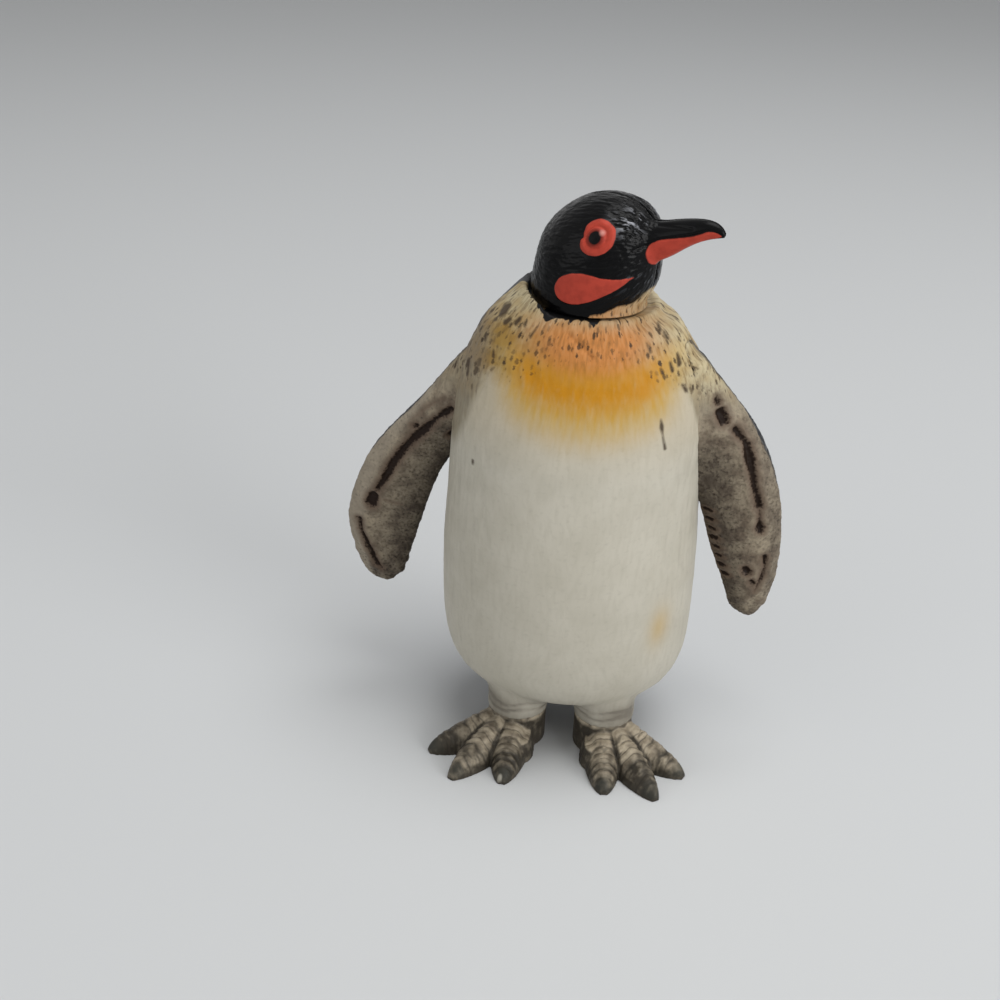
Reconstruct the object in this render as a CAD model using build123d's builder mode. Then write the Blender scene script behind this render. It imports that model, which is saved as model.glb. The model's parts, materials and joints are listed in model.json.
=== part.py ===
from build123d import *
import os
from math import cos, pi, radians, sin

# Penguin figurine in moulded plastic: a body of two glued shells, a head of two glued
# shells that swivels in the body's collar, two flippers and two feet glued in by pegs.
# Millimetres, +Z up. The figure faces -Y, and its own left is +X.
# The origin is on the ground, under the middle of the figure's bounding box.

# Neck axis, about which the head turns and the body is laid out
AXIS_X = 2.4
AXIS_Y = -0.06

# Body shells
UNDERSIDE = 6.3
COLLAR_HEIGHT = 66.0
COLLAR_RADIUS = 8.1
NAPE_RISE = 2.0
# The neck's rim leans towards the beak, above the height where the lean starts
RIM_LEAN = 6.0
RIM_DROP = 1.0
RIM_LEAN_START = 0.927
BODY_HALF_WIDTH = 17.7
BELLY_REACH = 16.2
BACK_REACH = 17.0
# The belly hangs a little to the figure's right, most of all at half height
BELLY_LEAN = 0.6
BODY_WALL = 2.0
FLOOR_THICKNESS = 4.5
SHOULDER_THICKNESS = 9.0
# Stations of the body: share of the height from underside to nape, then the shares
# of the half width, of the belly reach and of the back reach
BODY_STATIONS = [
    (0.000, 0.44, 0.25, 0.50),
    (0.028, 0.70, 0.47, 0.72),
    (0.076, 0.88, 0.70, 0.87),
    (0.157, 0.975, 0.90, 0.965),
    (0.271, 1.00, 0.99, 1.00),
    (0.400, 0.995, 1.00, 0.975),
    (0.530, 0.97, 0.95, 0.92),
    (0.652, 0.955, 0.865, 0.85),
    (0.757, 0.94, 0.76, 0.755),
    (0.822, 0.90, 0.69, 0.695),
    (0.878, 0.815, 0.63, 0.64),
    (0.927, 0.71, 0.57, 0.595),
    (0.968, 0.60, 0.506, 0.555),
    (1.000, 0.505, 0.457, 0.525),
]

# Tail on the back shell: height above the ground, distance behind the neck axis,
# half width and half thickness
TAIL_STATIONS = [
    (15.0, 12.0, 6.5, 3.2),
    (9.5, 14.3, 5.4, 2.2),
    (5.5, 16.0, 3.8, 1.3),
    (3.2, 16.7, 2.2, 0.7),
]

# Locating pins between glued shells
PIN_RADIUS = 1.0
PIN_LENGTH = 2.0
PIN_CLEARANCE = 0.05
SHOULDER_PIN_SPACING = 18.0
SHOULDER_PIN_DROP = 4.5
FLOOR_PIN_SPACING = 19.0
FLOOR_PIN_RISE = 2.6
BEAK_PIN_REACH = 8.0
BEAK_PIN_HEIGHT = 9.2
BEAK_PIN_RADIUS = 0.7
POST_PIN_DROP = 3.2

# Neck swivel: a post with a flange, trapped under the collar's lip
SWIVEL_GAP = 0.15
POST_RADIUS = 4.0
POST_CLEARANCE = 0.08
LIP_THICKNESS = 5.4
FLANGE_RADIUS = 5.5
FLANGE_THICKNESS = 2.2
FLANGE_CLEARANCE = 0.3

# Head shells, turned to the figure's left
HEAD_TURN = 66.0
HEAD_HEIGHT = 13.85
HEAD_HALF_LENGTH = 8.0
HEAD_HALF_WIDTH = 7.3
CROWN_SHIFT = 2.1
HEAD_WALL = 2.0
# Stations of the head: share of the head's height, then the shares of the crown's
# forward shift, of the half length and of the half width
HEAD_STATIONS = [
    (0.00, -0.05, 0.92, 0.96),
    (0.17, 0.00, 0.975, 0.99),
    (0.35, 0.28, 1.00, 1.00),
    (0.53, 0.42, 0.965, 0.97),
    (0.69, 0.62, 0.885, 0.89),
    (0.825, 0.85, 0.735, 0.74),
    (0.93, 0.97, 0.51, 0.51),
    (0.985, 1.00, 0.26, 0.26),
    (1.00, 1.00, 0.085, 0.085),
]
HEAD_CAVITY_STATIONS = HEAD_STATIONS[1:6]

# Beak: reach ahead of the neck axis, height above the head's base, half height
# and half width
BEAK_STATIONS = [
    (5.5, 8.7, 3.5, 3.3),
    (8.5, 9.1, 2.6, 2.3),
    (11.2, 10.25, 2.0, 1.7),
    (13.8, 11.3, 1.35, 1.2),
    (15.7, 11.5, 0.85, 0.7),
    (16.6, 11.2, 0.35, 0.3),
]

# Flippers, glued into shoulder sockets on the seam of the body shells
SHOULDER_HEIGHT = 50.0
FLIPPER_PEG_RADIUS = 1.4
FLIPPER_PEG_DEPTH = 5.5
SOCKET_WALL = 1.6
GLUE_CLEARANCE = 0.05
# Stations of a blade: height above the shoulder, reach of the outer and of the inner
# edge past the body's half width, distance behind the neck axis, half thickness
LEFT_FLIPPER_STATIONS = [
    (10.0, -4.0, -8.6, -0.3, 1.7),
    (6.5, 0.2, -6.8, -0.6, 2.2),
    (3.0, 3.4, -5.0, -0.8, 2.6),
    (-2.5, 7.0, -2.8, -1.3, 2.8),
    (-6.5, 8.6, -2.2, -1.7, 2.3),
    (-10.0, 9.6, -1.1, -1.8, 2.0),
    (-14.7, 10.3, 0.4, -1.6, 1.8),
    (-20.0, 10.5, 2.3, -1.3, 1.6),
    (-24.0, 10.1, 3.8, -1.0, 1.4),
    (-26.7, 9.3, 4.9, -0.8, 1.0),
    (-28.2, 8.1, 6.9, -0.7, 0.5),
]
RIGHT_FLIPPER_STATIONS = [
    (10.0, -4.0, -8.6, 0.4, 1.7),
    (6.0, 0.1, -7.0, 0.5, 2.2),
    (2.0, 3.1, -5.2, 0.6, 2.6),
    (-2.5, 6.8, -3.2, 1.2, 2.7),
    (-7.0, 10.4, -0.4, 1.9, 2.2),
    (-12.0, 13.0, 2.1, 2.7, 2.0),
    (-17.0, 14.7, 3.7, 3.5, 1.8),
    (-22.0, 15.3, 5.1, 4.3, 1.6),
    (-25.5, 14.7, 6.1, 4.8, 1.4),
    (-29.0, 13.6, 7.1, 5.2, 1.2),
    (-31.0, 12.2, 8.3, 5.4, 0.9),
    (-31.6, 10.8, 9.6, 5.5, 0.4),
]

# Legs on the front shell, and feet glued into them
LEG_SPACING = 12.6
LEG_RADIUS = 4.4
LEG_FORWARD = 4.7
ANKLE_HEIGHT = 5.5
ANKLE_RADIUS = 4.2
FOOT_PEG_RADIUS = 2.0
FOOT_PEG_LENGTH = 3.4
FOOT_SOCKET_SPARE = 0.4
HEEL_REACH = 8.0
TOE_BASE_HEIGHT = 5.0
TOE_BASE_HALF_WIDTH = 2.9
INSTEP_HEIGHT = 4.8
INSTEP_HALF_WIDTH = 2.8
TOE_MIDDLE_HEIGHT = 3.7
TOE_MIDDLE_HALF_WIDTH = 2.5
TOE_END_HEIGHT = 2.5
TOE_END_HALF_WIDTH = 1.7
CLAW_HEIGHT = 0.9
CLAW_HALF_WIDTH = 0.5
WEB_THICKNESS = 1.8
HEEL_HALF_WIDTH = 3.0
HEEL_HEIGHT = 3.2
HEEL_TAPER = 12.0
# Toe tips of the left foot: distance to the figure's left of the neck axis, and ahead of it
TOE_TIPS = [(7.2, 16.9), (14.5, 17.0), (18.4, 11.6)]
INSTEP_SHARE = 0.34
TOE_MIDDLE_SHARE = 0.58
TOE_END_SHARE = 0.84
WEB_SHARE = 0.66

# Derived planes and heights
FLOOR_HEIGHT = UNDERSIDE + FLOOR_THICKNESS
CEILING_HEIGHT = COLLAR_HEIGHT - SHOULDER_THICKNESS
LIP_HEIGHT = COLLAR_HEIGHT - LIP_THICKNESS
HEAD_BASE = COLLAR_HEIGHT + SWIVEL_GAP
FORWARD = (sin(radians(HEAD_TURN)), -cos(radians(HEAD_TURN)), 0)
LEFTWARD = (cos(radians(HEAD_TURN)), sin(radians(HEAD_TURN)), 0)
LEFT_LEG = (LEG_SPACING / 2, -LEG_FORWARD)
RIGHT_LEG = (-LEG_SPACING / 2, -LEG_FORWARD)
LEG_PLACES = [LEFT_LEG, RIGHT_LEG]
BODY_SEAM = Plane(origin=(AXIS_X, AXIS_Y, 0), x_dir=(1, 0, 0), z_dir=(0, 1, 0))
HEAD_SEAM = Plane(origin=(AXIS_X, AXIS_Y, 0), x_dir=FORWARD, z_dir=LEFTWARD)
TOE_STATIONS = [
    (0.0, TOE_BASE_HEIGHT, TOE_BASE_HALF_WIDTH),
    (INSTEP_SHARE, INSTEP_HEIGHT, INSTEP_HALF_WIDTH),
    (TOE_MIDDLE_SHARE, TOE_MIDDLE_HEIGHT, TOE_MIDDLE_HALF_WIDTH),
    (TOE_END_SHARE, TOE_END_HEIGHT, TOE_END_HALF_WIDTH),
    (1.0, CLAW_HEIGHT, CLAW_HALF_WIDTH),
]
# Both seam planes have their Y downwards, so heights on them turn negative
BODY_PIN_POINTS = [
    (side * spacing / 2, -height)
    for side in (-1, 1)
    for spacing, height in (
        (SHOULDER_PIN_SPACING, COLLAR_HEIGHT - SHOULDER_PIN_DROP),
        (FLOOR_PIN_SPACING, UNDERSIDE + FLOOR_PIN_RISE),
    )
]
HEAD_PINS = [
    ((BEAK_PIN_REACH, -HEAD_BASE - BEAK_PIN_HEIGHT), BEAK_PIN_RADIUS),
    ((0, POST_PIN_DROP - COLLAR_HEIGHT), PIN_RADIUS),
]


def level(height):
    """Horizontal plane about the neck axis, in the body's directions."""
    return Plane(origin=(AXIS_X, AXIS_Y, height))


def leaning_level(height, lean):
    """Plane about the neck axis that leans down towards the beak by an angle in degrees."""
    normal = (FORWARD[0] * sin(radians(lean)), FORWARD[1] * sin(radians(lean)), cos(radians(lean)))
    return Plane(origin=(AXIS_X, AXIS_Y, height), x_dir=(1, 0, 0), z_dir=normal)


def head_level(height):
    """Horizontal plane about the neck axis, with its X along the beak."""
    return Plane(origin=(AXIS_X, AXIS_Y, height), x_dir=FORWARD, z_dir=(0, 0, 1))


def beak_plane(reach):
    """Upright plane across the beak, with its X upwards from the head's base."""
    origin = (AXIS_X + FORWARD[0] * reach, AXIS_Y + FORWARD[1] * reach, HEAD_BASE)
    return Plane(origin=origin, x_dir=(0, 0, 1), z_dir=FORWARD)


def ellipse_loft(sections):
    """Loft through ellipses, each given by its plane, centre and radii."""
    with BuildPart() as form:
        for plane, centre, radii in sections:
            with BuildSketch(plane):
                with Locations(centre):
                    Ellipse(*radii)
        loft()
    return form.part


def body_form(inset):
    """The body's form, drawn in by an inset."""
    sections = []
    for rise, width, belly, back in BODY_STATIONS:
        lean_share = max(0, rise - RIM_LEAN_START) / (1 - RIM_LEAN_START)
        height = UNDERSIDE + rise * (COLLAR_HEIGHT + NAPE_RISE - UNDERSIDE) - RIM_DROP * lean_share
        front = BELLY_REACH * belly
        rear = BACK_REACH * back
        radii = (BODY_HALF_WIDTH * width - inset, (front + rear) / 2 - inset)
        plane = leaning_level(height, RIM_LEAN * lean_share)
        sections.append((plane, (-BELLY_LEAN * sin(pi * rise), (rear - front) / 2), radii))
    return ellipse_loft(sections)


def head_form(stations, inset):
    """The head's form without the beak, drawn in by an inset."""
    sections = []
    for rise, shift, length, width in stations:
        plane = head_level(HEAD_BASE + rise * HEAD_HEIGHT)
        radii = (HEAD_HALF_LENGTH * length - inset, HEAD_HALF_WIDTH * width - inset)
        sections.append((plane, (CROWN_SHIFT * shift, 0), radii))
    return ellipse_loft(sections)


def flipper_blade(side, stations):
    """A flipper's blade before it is cut to the body; side is 1 for left, -1 for right."""
    sections = []
    for rise, outer, inner, behind, half_thickness in stations:
        middle = BODY_HALF_WIDTH + (outer + inner) / 2
        radii = ((outer - inner) / 2, half_thickness)
        plane = level(SHOULDER_HEIGHT + rise)
        sections.append((plane, (side * middle, behind), radii))
    return ellipse_loft(sections)


def along_toe(tip, share):
    """Point on the ground at a share of the way from the left leg to a toe's tip."""
    x = LEFT_LEG[0] + share * (tip[0] - LEFT_LEG[0])
    y = LEFT_LEG[1] + share * (-tip[1] - LEFT_LEG[1])
    return (x, y)


def toe_form(tip):
    """One toe of the left foot, centred on the ground, which later cuts it flat."""
    direction = (tip[0] - LEFT_LEG[0], -tip[1] - LEFT_LEG[1], 0)
    sections = []
    for share, height, half_width in TOE_STATIONS:
        x, y = along_toe(tip, share)
        origin = (AXIS_X + x, AXIS_Y + y, 0)
        plane = Plane(origin=origin, x_dir=(0, 0, 1), z_dir=direction)
        sections.append((plane, (0, 0), (height, half_width)))
    return ellipse_loft(sections)


def shoulder_plane(side):
    """Plane across a shoulder's peg, at the body's half width, facing outwards."""
    origin = (AXIS_X + side * BODY_HALF_WIDTH, AXIS_Y, SHOULDER_HEIGHT)
    return Plane(origin=origin, x_dir=(0, side, 0), z_dir=(side, 0, 0))


WEB_POINTS = [along_toe(tip, WEB_SHARE) for tip in TOE_TIPS]

body_outer = body_form(0)
body_inner = body_form(BODY_WALL)
tail_sections = []
for tail_height, behind, half_width, half_thickness in TAIL_STATIONS:
    tail_sections.append((level(tail_height), (0, behind), (half_width, half_thickness)))
tail_form = ellipse_loft(tail_sections)

with BuildPart() as body_cavity:
    add(body_inner)
    split(bisect_by=level(FLOOR_HEIGHT), keep=Keep.TOP)
    split(bisect_by=level(CEILING_HEIGHT), keep=Keep.BOTTOM)

# The whole hollow body with its tail, legs and sockets, before it is cut into shells
with BuildPart() as body_whole:
    add(body_outer)
    add(tail_form)
    with BuildSketch(level(ANKLE_HEIGHT)):
        with Locations(*LEG_PLACES):
            Circle(LEG_RADIUS)
    extrude(amount=FLOOR_HEIGHT - ANKLE_HEIGHT)
    add(body_cavity.part, mode=Mode.SUBTRACT)
    for side in (-1, 1):
        with BuildSketch(shoulder_plane(side).offset(-BODY_WALL)):
            Circle(FLIPPER_PEG_RADIUS + GLUE_CLEARANCE + SOCKET_WALL)
        extrude(amount=-FLIPPER_PEG_DEPTH)
        with BuildSketch(shoulder_plane(side)):
            Circle(FLIPPER_PEG_RADIUS + GLUE_CLEARANCE)
        extrude(amount=-FLIPPER_PEG_DEPTH - GLUE_CLEARANCE, mode=Mode.SUBTRACT)
    with BuildSketch(level(ANKLE_HEIGHT)):
        with Locations(*LEG_PLACES):
            Circle(FOOT_PEG_RADIUS + GLUE_CLEARANCE)
    extrude(amount=FOOT_PEG_LENGTH + FOOT_SOCKET_SPARE, mode=Mode.SUBTRACT)
    with BuildSketch(level(COLLAR_HEIGHT)):
        Circle(COLLAR_RADIUS)
    extrude(amount=NAPE_RISE, mode=Mode.SUBTRACT)
    with BuildSketch(level(COLLAR_HEIGHT)):
        Circle(POST_RADIUS + POST_CLEARANCE)
    extrude(amount=-LIP_THICKNESS, mode=Mode.SUBTRACT)
    with BuildSketch(level(CEILING_HEIGHT)):
        Circle(FLANGE_RADIUS + FLANGE_CLEARANCE)
    extrude(amount=LIP_HEIGHT - CEILING_HEIGHT, mode=Mode.SUBTRACT)

with BuildPart() as body_front_shell:
    add(body_whole.part)
    split(bisect_by=BODY_SEAM, keep=Keep.BOTTOM)
    with BuildSketch(BODY_SEAM):
        with Locations(*BODY_PIN_POINTS):
            Circle(PIN_RADIUS + PIN_CLEARANCE)
    extrude(amount=-PIN_LENGTH - PIN_CLEARANCE, mode=Mode.SUBTRACT)

with BuildPart() as body_back_shell:
    add(body_whole.part)
    split(bisect_by=BODY_SEAM, keep=Keep.TOP)
    with BuildSketch(BODY_SEAM):
        with Locations(*BODY_PIN_POINTS):
            Circle(PIN_RADIUS)
    extrude(amount=PIN_LENGTH, both=True)

# The whole hollow head with its beak and neck post, before it is cut into shells
beak_sections = []
for reach, rise, half_height, half_width in BEAK_STATIONS:
    beak_sections.append((beak_plane(reach), (rise, 0), (half_height, half_width)))
beak_form = ellipse_loft(beak_sections)
head_outer = head_form(HEAD_STATIONS, 0)
head_inner = head_form(HEAD_CAVITY_STATIONS, HEAD_WALL)

with BuildPart() as head_whole:
    add(head_outer)
    add(beak_form)
    add(head_inner, mode=Mode.SUBTRACT)
    with BuildSketch(head_level(HEAD_BASE)):
        Circle(POST_RADIUS)
    extrude(amount=-LIP_THICKNESS - 2 * SWIVEL_GAP)
    with BuildSketch(head_level(LIP_HEIGHT - SWIVEL_GAP)):
        Circle(FLANGE_RADIUS)
    extrude(amount=-FLANGE_THICKNESS)

with BuildPart() as head_left_shell:
    add(head_whole.part)
    split(bisect_by=HEAD_SEAM, keep=Keep.TOP)
    for place, radius in HEAD_PINS:
        with BuildSketch(HEAD_SEAM):
            with Locations(place):
                Circle(radius)
        extrude(amount=radius, both=True)

with BuildPart() as head_right_shell:
    add(head_whole.part)
    split(bisect_by=HEAD_SEAM, keep=Keep.BOTTOM)
    for place, radius in HEAD_PINS:
        with BuildSketch(HEAD_SEAM):
            with Locations(place):
                Circle(radius + PIN_CLEARANCE)
        extrude(amount=-radius - PIN_CLEARANCE, mode=Mode.SUBTRACT)

with BuildPart() as left_flipper:
    add(flipper_blade(1, LEFT_FLIPPER_STATIONS))
    add(body_outer, mode=Mode.SUBTRACT)
    with BuildSketch(shoulder_plane(1)):
        Circle(FLIPPER_PEG_RADIUS)
    extrude(amount=-FLIPPER_PEG_DEPTH)

with BuildPart() as right_flipper:
    add(flipper_blade(-1, RIGHT_FLIPPER_STATIONS))
    add(body_outer, mode=Mode.SUBTRACT)
    with BuildSketch(shoulder_plane(-1)):
        Circle(FLIPPER_PEG_RADIUS)
    extrude(amount=-FLIPPER_PEG_DEPTH)

with BuildPart() as left_foot:
    with BuildSketch(level(0)):
        with Locations(LEFT_LEG):
            Circle(ANKLE_RADIUS)
    extrude(amount=ANKLE_HEIGHT)
    with BuildSketch(level(0)):
        with Locations(LEFT_LEG):
            SlotCenterPoint((0, 0), (0, HEEL_REACH - HEEL_HALF_WIDTH), 2 * HEEL_HALF_WIDTH)
    extrude(amount=HEEL_HEIGHT, taper=HEEL_TAPER)
    for tip in TOE_TIPS:
        add(toe_form(tip))
    with BuildSketch(level(0)):
        with BuildLine():
            Polyline(LEFT_LEG, *WEB_POINTS, close=True)
        make_face()
    extrude(amount=WEB_THICKNESS)
    with BuildSketch(level(ANKLE_HEIGHT)):
        with Locations(LEFT_LEG):
            Circle(FOOT_PEG_RADIUS)
    extrude(amount=FOOT_PEG_LENGTH)
    split(bisect_by=level(0), keep=Keep.TOP)

with BuildPart() as right_foot:
    mirror(left_foot.part, about=Plane(origin=(AXIS_X, AXIS_Y, 0), z_dir=(1, 0, 0)))

body_front_shell.part.label = "body_front_shell"
body_back_shell.part.label = "body_back_shell"
head_left_shell.part.label = "head_left_shell"
head_right_shell.part.label = "head_right_shell"
left_flipper.part.label = "left_flipper"
right_flipper.part.label = "right_flipper"
left_foot.part.label = "left_foot"
right_foot.part.label = "right_foot"

os.makedirs("parts", exist_ok=True)
export_step(body_front_shell.part, "parts/body_front_shell.step")
export_step(body_back_shell.part, "parts/body_back_shell.step")
export_step(head_left_shell.part, "parts/head_left_shell.step")
export_step(head_right_shell.part, "parts/head_right_shell.step")
export_step(left_flipper.part, "parts/left_flipper.step")
export_step(right_flipper.part, "parts/right_flipper.step")
export_step(left_foot.part, "parts/left_foot.step")
export_step(right_foot.part, "parts/right_foot.step")
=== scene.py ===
import json
import math

import bmesh
import bpy
import numpy as np
from mathutils import Matrix, Vector


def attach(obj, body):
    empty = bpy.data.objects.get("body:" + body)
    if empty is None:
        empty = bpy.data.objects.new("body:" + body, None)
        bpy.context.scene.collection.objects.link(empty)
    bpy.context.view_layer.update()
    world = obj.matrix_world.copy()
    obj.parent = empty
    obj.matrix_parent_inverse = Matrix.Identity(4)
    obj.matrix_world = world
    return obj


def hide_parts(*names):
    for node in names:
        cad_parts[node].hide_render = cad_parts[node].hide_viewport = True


bl_info = {
    "name": "Painted Penguin Figurine",
    "version": (1, 0, 0),
    "blender": (4, 5, 0),
    "location": "3D View > Sidebar > Penguin",
    "description": "Sculpts and paints the moulded penguin figurine around its packed solids",
    "category": "Object",
}

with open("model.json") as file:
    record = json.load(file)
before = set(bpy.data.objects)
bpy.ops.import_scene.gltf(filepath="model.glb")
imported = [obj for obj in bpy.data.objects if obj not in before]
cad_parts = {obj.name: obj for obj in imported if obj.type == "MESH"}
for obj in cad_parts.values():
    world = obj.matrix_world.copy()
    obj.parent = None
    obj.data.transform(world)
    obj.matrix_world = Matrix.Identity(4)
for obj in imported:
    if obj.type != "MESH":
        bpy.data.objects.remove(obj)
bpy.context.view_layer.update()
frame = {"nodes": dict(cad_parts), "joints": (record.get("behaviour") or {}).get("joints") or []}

# The bench: millimetres about the neck axis, where every piece is sculpted
MM = 0.001
NECK = Vector(frame["joints"][0]["pos_m"])
COLLAR = NECK.z / MM
TO_BENCH = Matrix.Diagonal((1 / MM, 1 / MM, 1 / MM, 1)) @ Matrix.Translation((-NECK.x, -NECK.y, 0))

# Places on the head, in millimetres: ahead of the neck axis, and above the head's base
HEAD_BASE = COLLAR + 0.15
EYE_OUTLINE = [
    (3.0, 11.9), (4.25, 11.5), (5.0, 10.6), (4.95, 9.2), (4.0, 8.2), (2.7, 7.9), (1.55, 8.4), (1.2, 9.35),
    (1.5, 9.8), (1.4, 10.4), (1.55, 11.15), (2.2, 11.7),
]
EYEBALL = (3.0, 9.95)
EYEBALL_RADIUS = 1.12
PUPIL = (2.92, 9.87)
PUPIL_RADIUS = 0.74
PUPIL_RING = 0.12
PUPIL_RING_HALF_WIDTH = 0.1
GLINT = (3.65, 10.5)
GLINT_RADIUS = 0.22
EAR_OUTLINE = [
    (-1.6, 3.3), (-0.9, 4.6), (0.6, 5.4), (2.4, 5.6), (4.2, 5.3), (6.0, 5.2), (7.1, 5.42), (7.3, 5.36),
    (7.1, 5.2), (6.0, 4.1), (4.4, 3.0), (2.2, 1.9), (0.3, 1.6), (-1.1, 2.1),
]
PLATE_OUTLINE = [
    (8.0, 7.9), (8.3, 9.1), (9.2, 9.75), (10.9, 10.2), (12.5, 10.55), (13.8, 11.0), (14.9, 11.5),
    (15.9, 11.4), (16.3, 10.9), (15.2, 9.8), (12.5, 8.0), (10.2, 6.4), (8.6, 6.5),
]
MOUTH_LINE = [(7.0, 8.6), (8.3, 9.25), (9.2, 9.85), (10.9, 10.3), (12.5, 10.65), (13.8, 11.1), (14.9, 11.6)]
CHIN_EDGE = [(2.6, -0.3), (3.0, 0.3), (4.4, 0.6), (5.7, 1.5), (6.9, 1.7), (7.4, 2.2), (8.2, 3.3)]
NOSTRIL_LINE = [(8.5, 11.3, 0.0), (9.9, 11.45, 0.05), (11.4, 11.6, 0.05), (12.9, 11.62, 0.0)]
HEAD_MIDDLE = (1.5, 0.0, 7.5)
FEATHER_POLE = (0.99, 0.0, 0.14)
FEATHER_RADIUS = 7.5
THROAT_SHEEN = (8.0, 4.4)
# Middle of the painted highlights on the forehead, ahead of the neck axis and above the head's base
FOREHEAD_HIGHLIGHT = (5.9, 11.7)
BEAK_ROOT = 8.3
BEAK_ROOT_SPAN = 1.4
BEAK_ROOT_ROUNDS = 80

# Relief of the head, in millimetres
EYE_RING_HEIGHT = 0.22
EYEBALL_BULGE = 0.3
EYEBALL_GROOVE = 0.12
EAR_HEIGHT = 0.1
PLATE_HEIGHT = 0.06
MOUTH_DEPTH = 0.2
NOSTRIL_DEPTH = 0.14
SEAM_DEPTH = 0.1
GROOVE_WIDTH = 0.16

# The body, in millimetres about the neck axis: a pair is a soft edge's start and end, four are a soft band's
LEG_BLEND = (6.2, 7.2, 10.0, 13.0)
LEG_BLEND_ROUNDS = 30
LEG_CUT = 6.5
CUFF = (11.5, 7.0)
NECK_LEAN = 0.45
NECK_LEAN_HEIGHT = 63.0
NECK_LEAN_SPAN = 2.5
NECK_WALL = (7.6, 8.6)
FLANK_SIDE = (8.5, 15.0)
FLANK_LOW = (18.0, 9.0)
BIB_MIDDLE = 0.7
BIB_HALF_WIDTH = 11.0
BIB_LOW = 52.8
BIB_LOW_RISE = 2.6
BIB_TOP = 60.2
BIB_TOP_RISE = 3.4
AMBER_LOW = (-3.8, 2.8)
AMBER_TOP = (-0.6, 2.4)
GOLD_LOW = (0.6, 5.4)
GOLD_TOP = (-2.0, 2.4)
THROAT = (56.5, 60.0, 64.0, 67.0)
WHITE_MIDDLE = 0.25
WHITE_TOP = 58.0
WHITE_DROP = 11.0
WHITE_SHOULDER = (11.75, 17.35)
WHITE_SOFT = 1.1
WHITE_SOFTER = 1.4
WHITE_SOFTER_SIDE = (-6.0, -12.0)
YOKE_MIDDLE = 1.0
YOKE_LOW = 61.3
YOKE_DROP = 6.0
YOKE_SHOULDER = (3.0, 13.0)
SPECKLE_LOW = (51.0, 55.0)
BOLD_SIDE = (9.0, 12.0)
# Straw on the neck band, by height; from side to side it deepens toward the figure's right as painted shade
WARM_BAND = (52.0, 60.0, 62.0, 67.0)
STRAW_SHADE_SIDE = (6.0, -9.0)
# Painted shade on the lower shoulders beside the flippers, and on the figure's right shoulder
ASHEN_TOP = (60.0, 53.0)
ASHEN_SIDE = (7.0, 12.0)
ASHEN_RIGHT = (-11.0, -14.0)
SEAM_EDGE = (-0.7, -0.1)
SEAM_LOW = (20.0, 40.0)
CREAM_CHEST = (46.0, 55.0)
BELLY_STAIN = (12.5, 24.9)
BELLY_STAIN_SPAN = (1.3, 3.0)
MAP_RADIUS = 12.0
MAP_SHOULDER = 15.0
MAP_NECK = 56.0
MAP_NECK_STRETCH = 0.6
FAR_OFF = 9.0

# Creases round the ankles: height, wave, the wave's pace and width in millimetres, and share of the depth
LEG_CREASES = ((6.9, 0.25, 0.9, 0.18, 1.0), (8.0, 0.3, 1.0, 0.2, 0.7))
CREASE_DEPTH = 0.14

# How far the shoulders' paint wraps onto the back shell, in millimetres
WRAP = 0.5
WRAP_LEFT = 1.2
WRAP_LEFT_SIDE = (-2.0, 2.0)
WRAP_NECK = 4.5
WRAP_NECK_LOW = (60.0, 64.0)
WRAP_NECK_SIDE = (0.0, 4.0)
WRAP_SOFT = (1.3, -1.3)
WRAP_LOW = (57.0, 60.0)

# The collar, and the black paint's brush tips that hang over it, in millimetres
COLLAR_SECTORS = 60
COLLAR_RIM = (7.4, 8.8)
COLLAR_EDGE = 7.3
COLLAR_OUTSIDE = (7.7, 8.3)
COLLAR_DEPTH = 4.0
COLLAR_UNEVEN = 3.0
CHEEK_ANGLE = math.radians(-131)
CHEEK_SPAN = 0.32
CHEEK_SPIKE = 1.6
SPIKE_LENGTH = 1.4
NAPE_LENGTH = 2.0
NAPE_SPIKE = 3.5

# Marks on the belly and the neck, in millimetres: to the figure's left of the neck axis, height, half width
SCRATCH = [(9.9, 54.6, 0.05), (10.1, 53.6, 0.25), (10.3, 52.6, 0.08), (10.8, 50.7, 0.16)]
NECK_FOLDS = [
    [(-2.2, 64.6, 0.05), (-0.6, 63.3, 0.12), (1.0, 62.0, 0.03)],
    [(6.2, 65.6, 0.05), (7.2, 64.6, 0.12), (7.6, 63.6, 0.03)],
]
NECK_DABS = [
    [(-9.9, 65.8, 0.15), (-10.5, 65.2, 0.4), (-11.2, 64.4, 0.15)], [(-9.6, 64.7, 0.15), (-10.3, 64.1, 0.25)],
    [(-8.4, 65.1, 0.15), (-8.9, 64.5, 0.25)], [(-7.5, 65.1, 0.1), (-7.7, 64.6, 0.2)],
    [(-6.0, 64.9, 0.05), (-6.9, 63.5, 0.12)], [(-4.4, 63.8, 0.1), (-4.5, 63.2, 0.18)],
    [(-14.8, 58.2, 0.1), (-15.0, 56.5, 0.2)], [(-12.7, 62.1, 0.1), (-12.9, 61.4, 0.15)],
    [(-11.5, 60.8, 0.1), (-11.5, 60.1, 0.15)], [(11.2, 61.7, 0.12), (11.6, 60.5, 0.25)],
    [(10.4, 61.0, 0.12), (10.8, 60.0, 0.2)], [(8.5, 65.0, 0.1), (8.8, 64.5, 0.2)],
    [(9.3, 64.3, 0.1), (9.9, 63.5, 0.15)], [(13.9, 60.4, 0.1), (14.4, 59.5, 0.2)],
    [(12.2, 58.2, 0.1), (12.8, 57.3, 0.2)], [(9.3, 60.5, 0.1), (9.6, 60.0, 0.2)],
    [(7.3, 63.6, 0.05), (7.9, 62.5, 0.15)], [(-13.4, 46.6, 0.15), (-13.4, 46.2, 0.15)],
]
FOLD_DEPTH = 0.25

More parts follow.
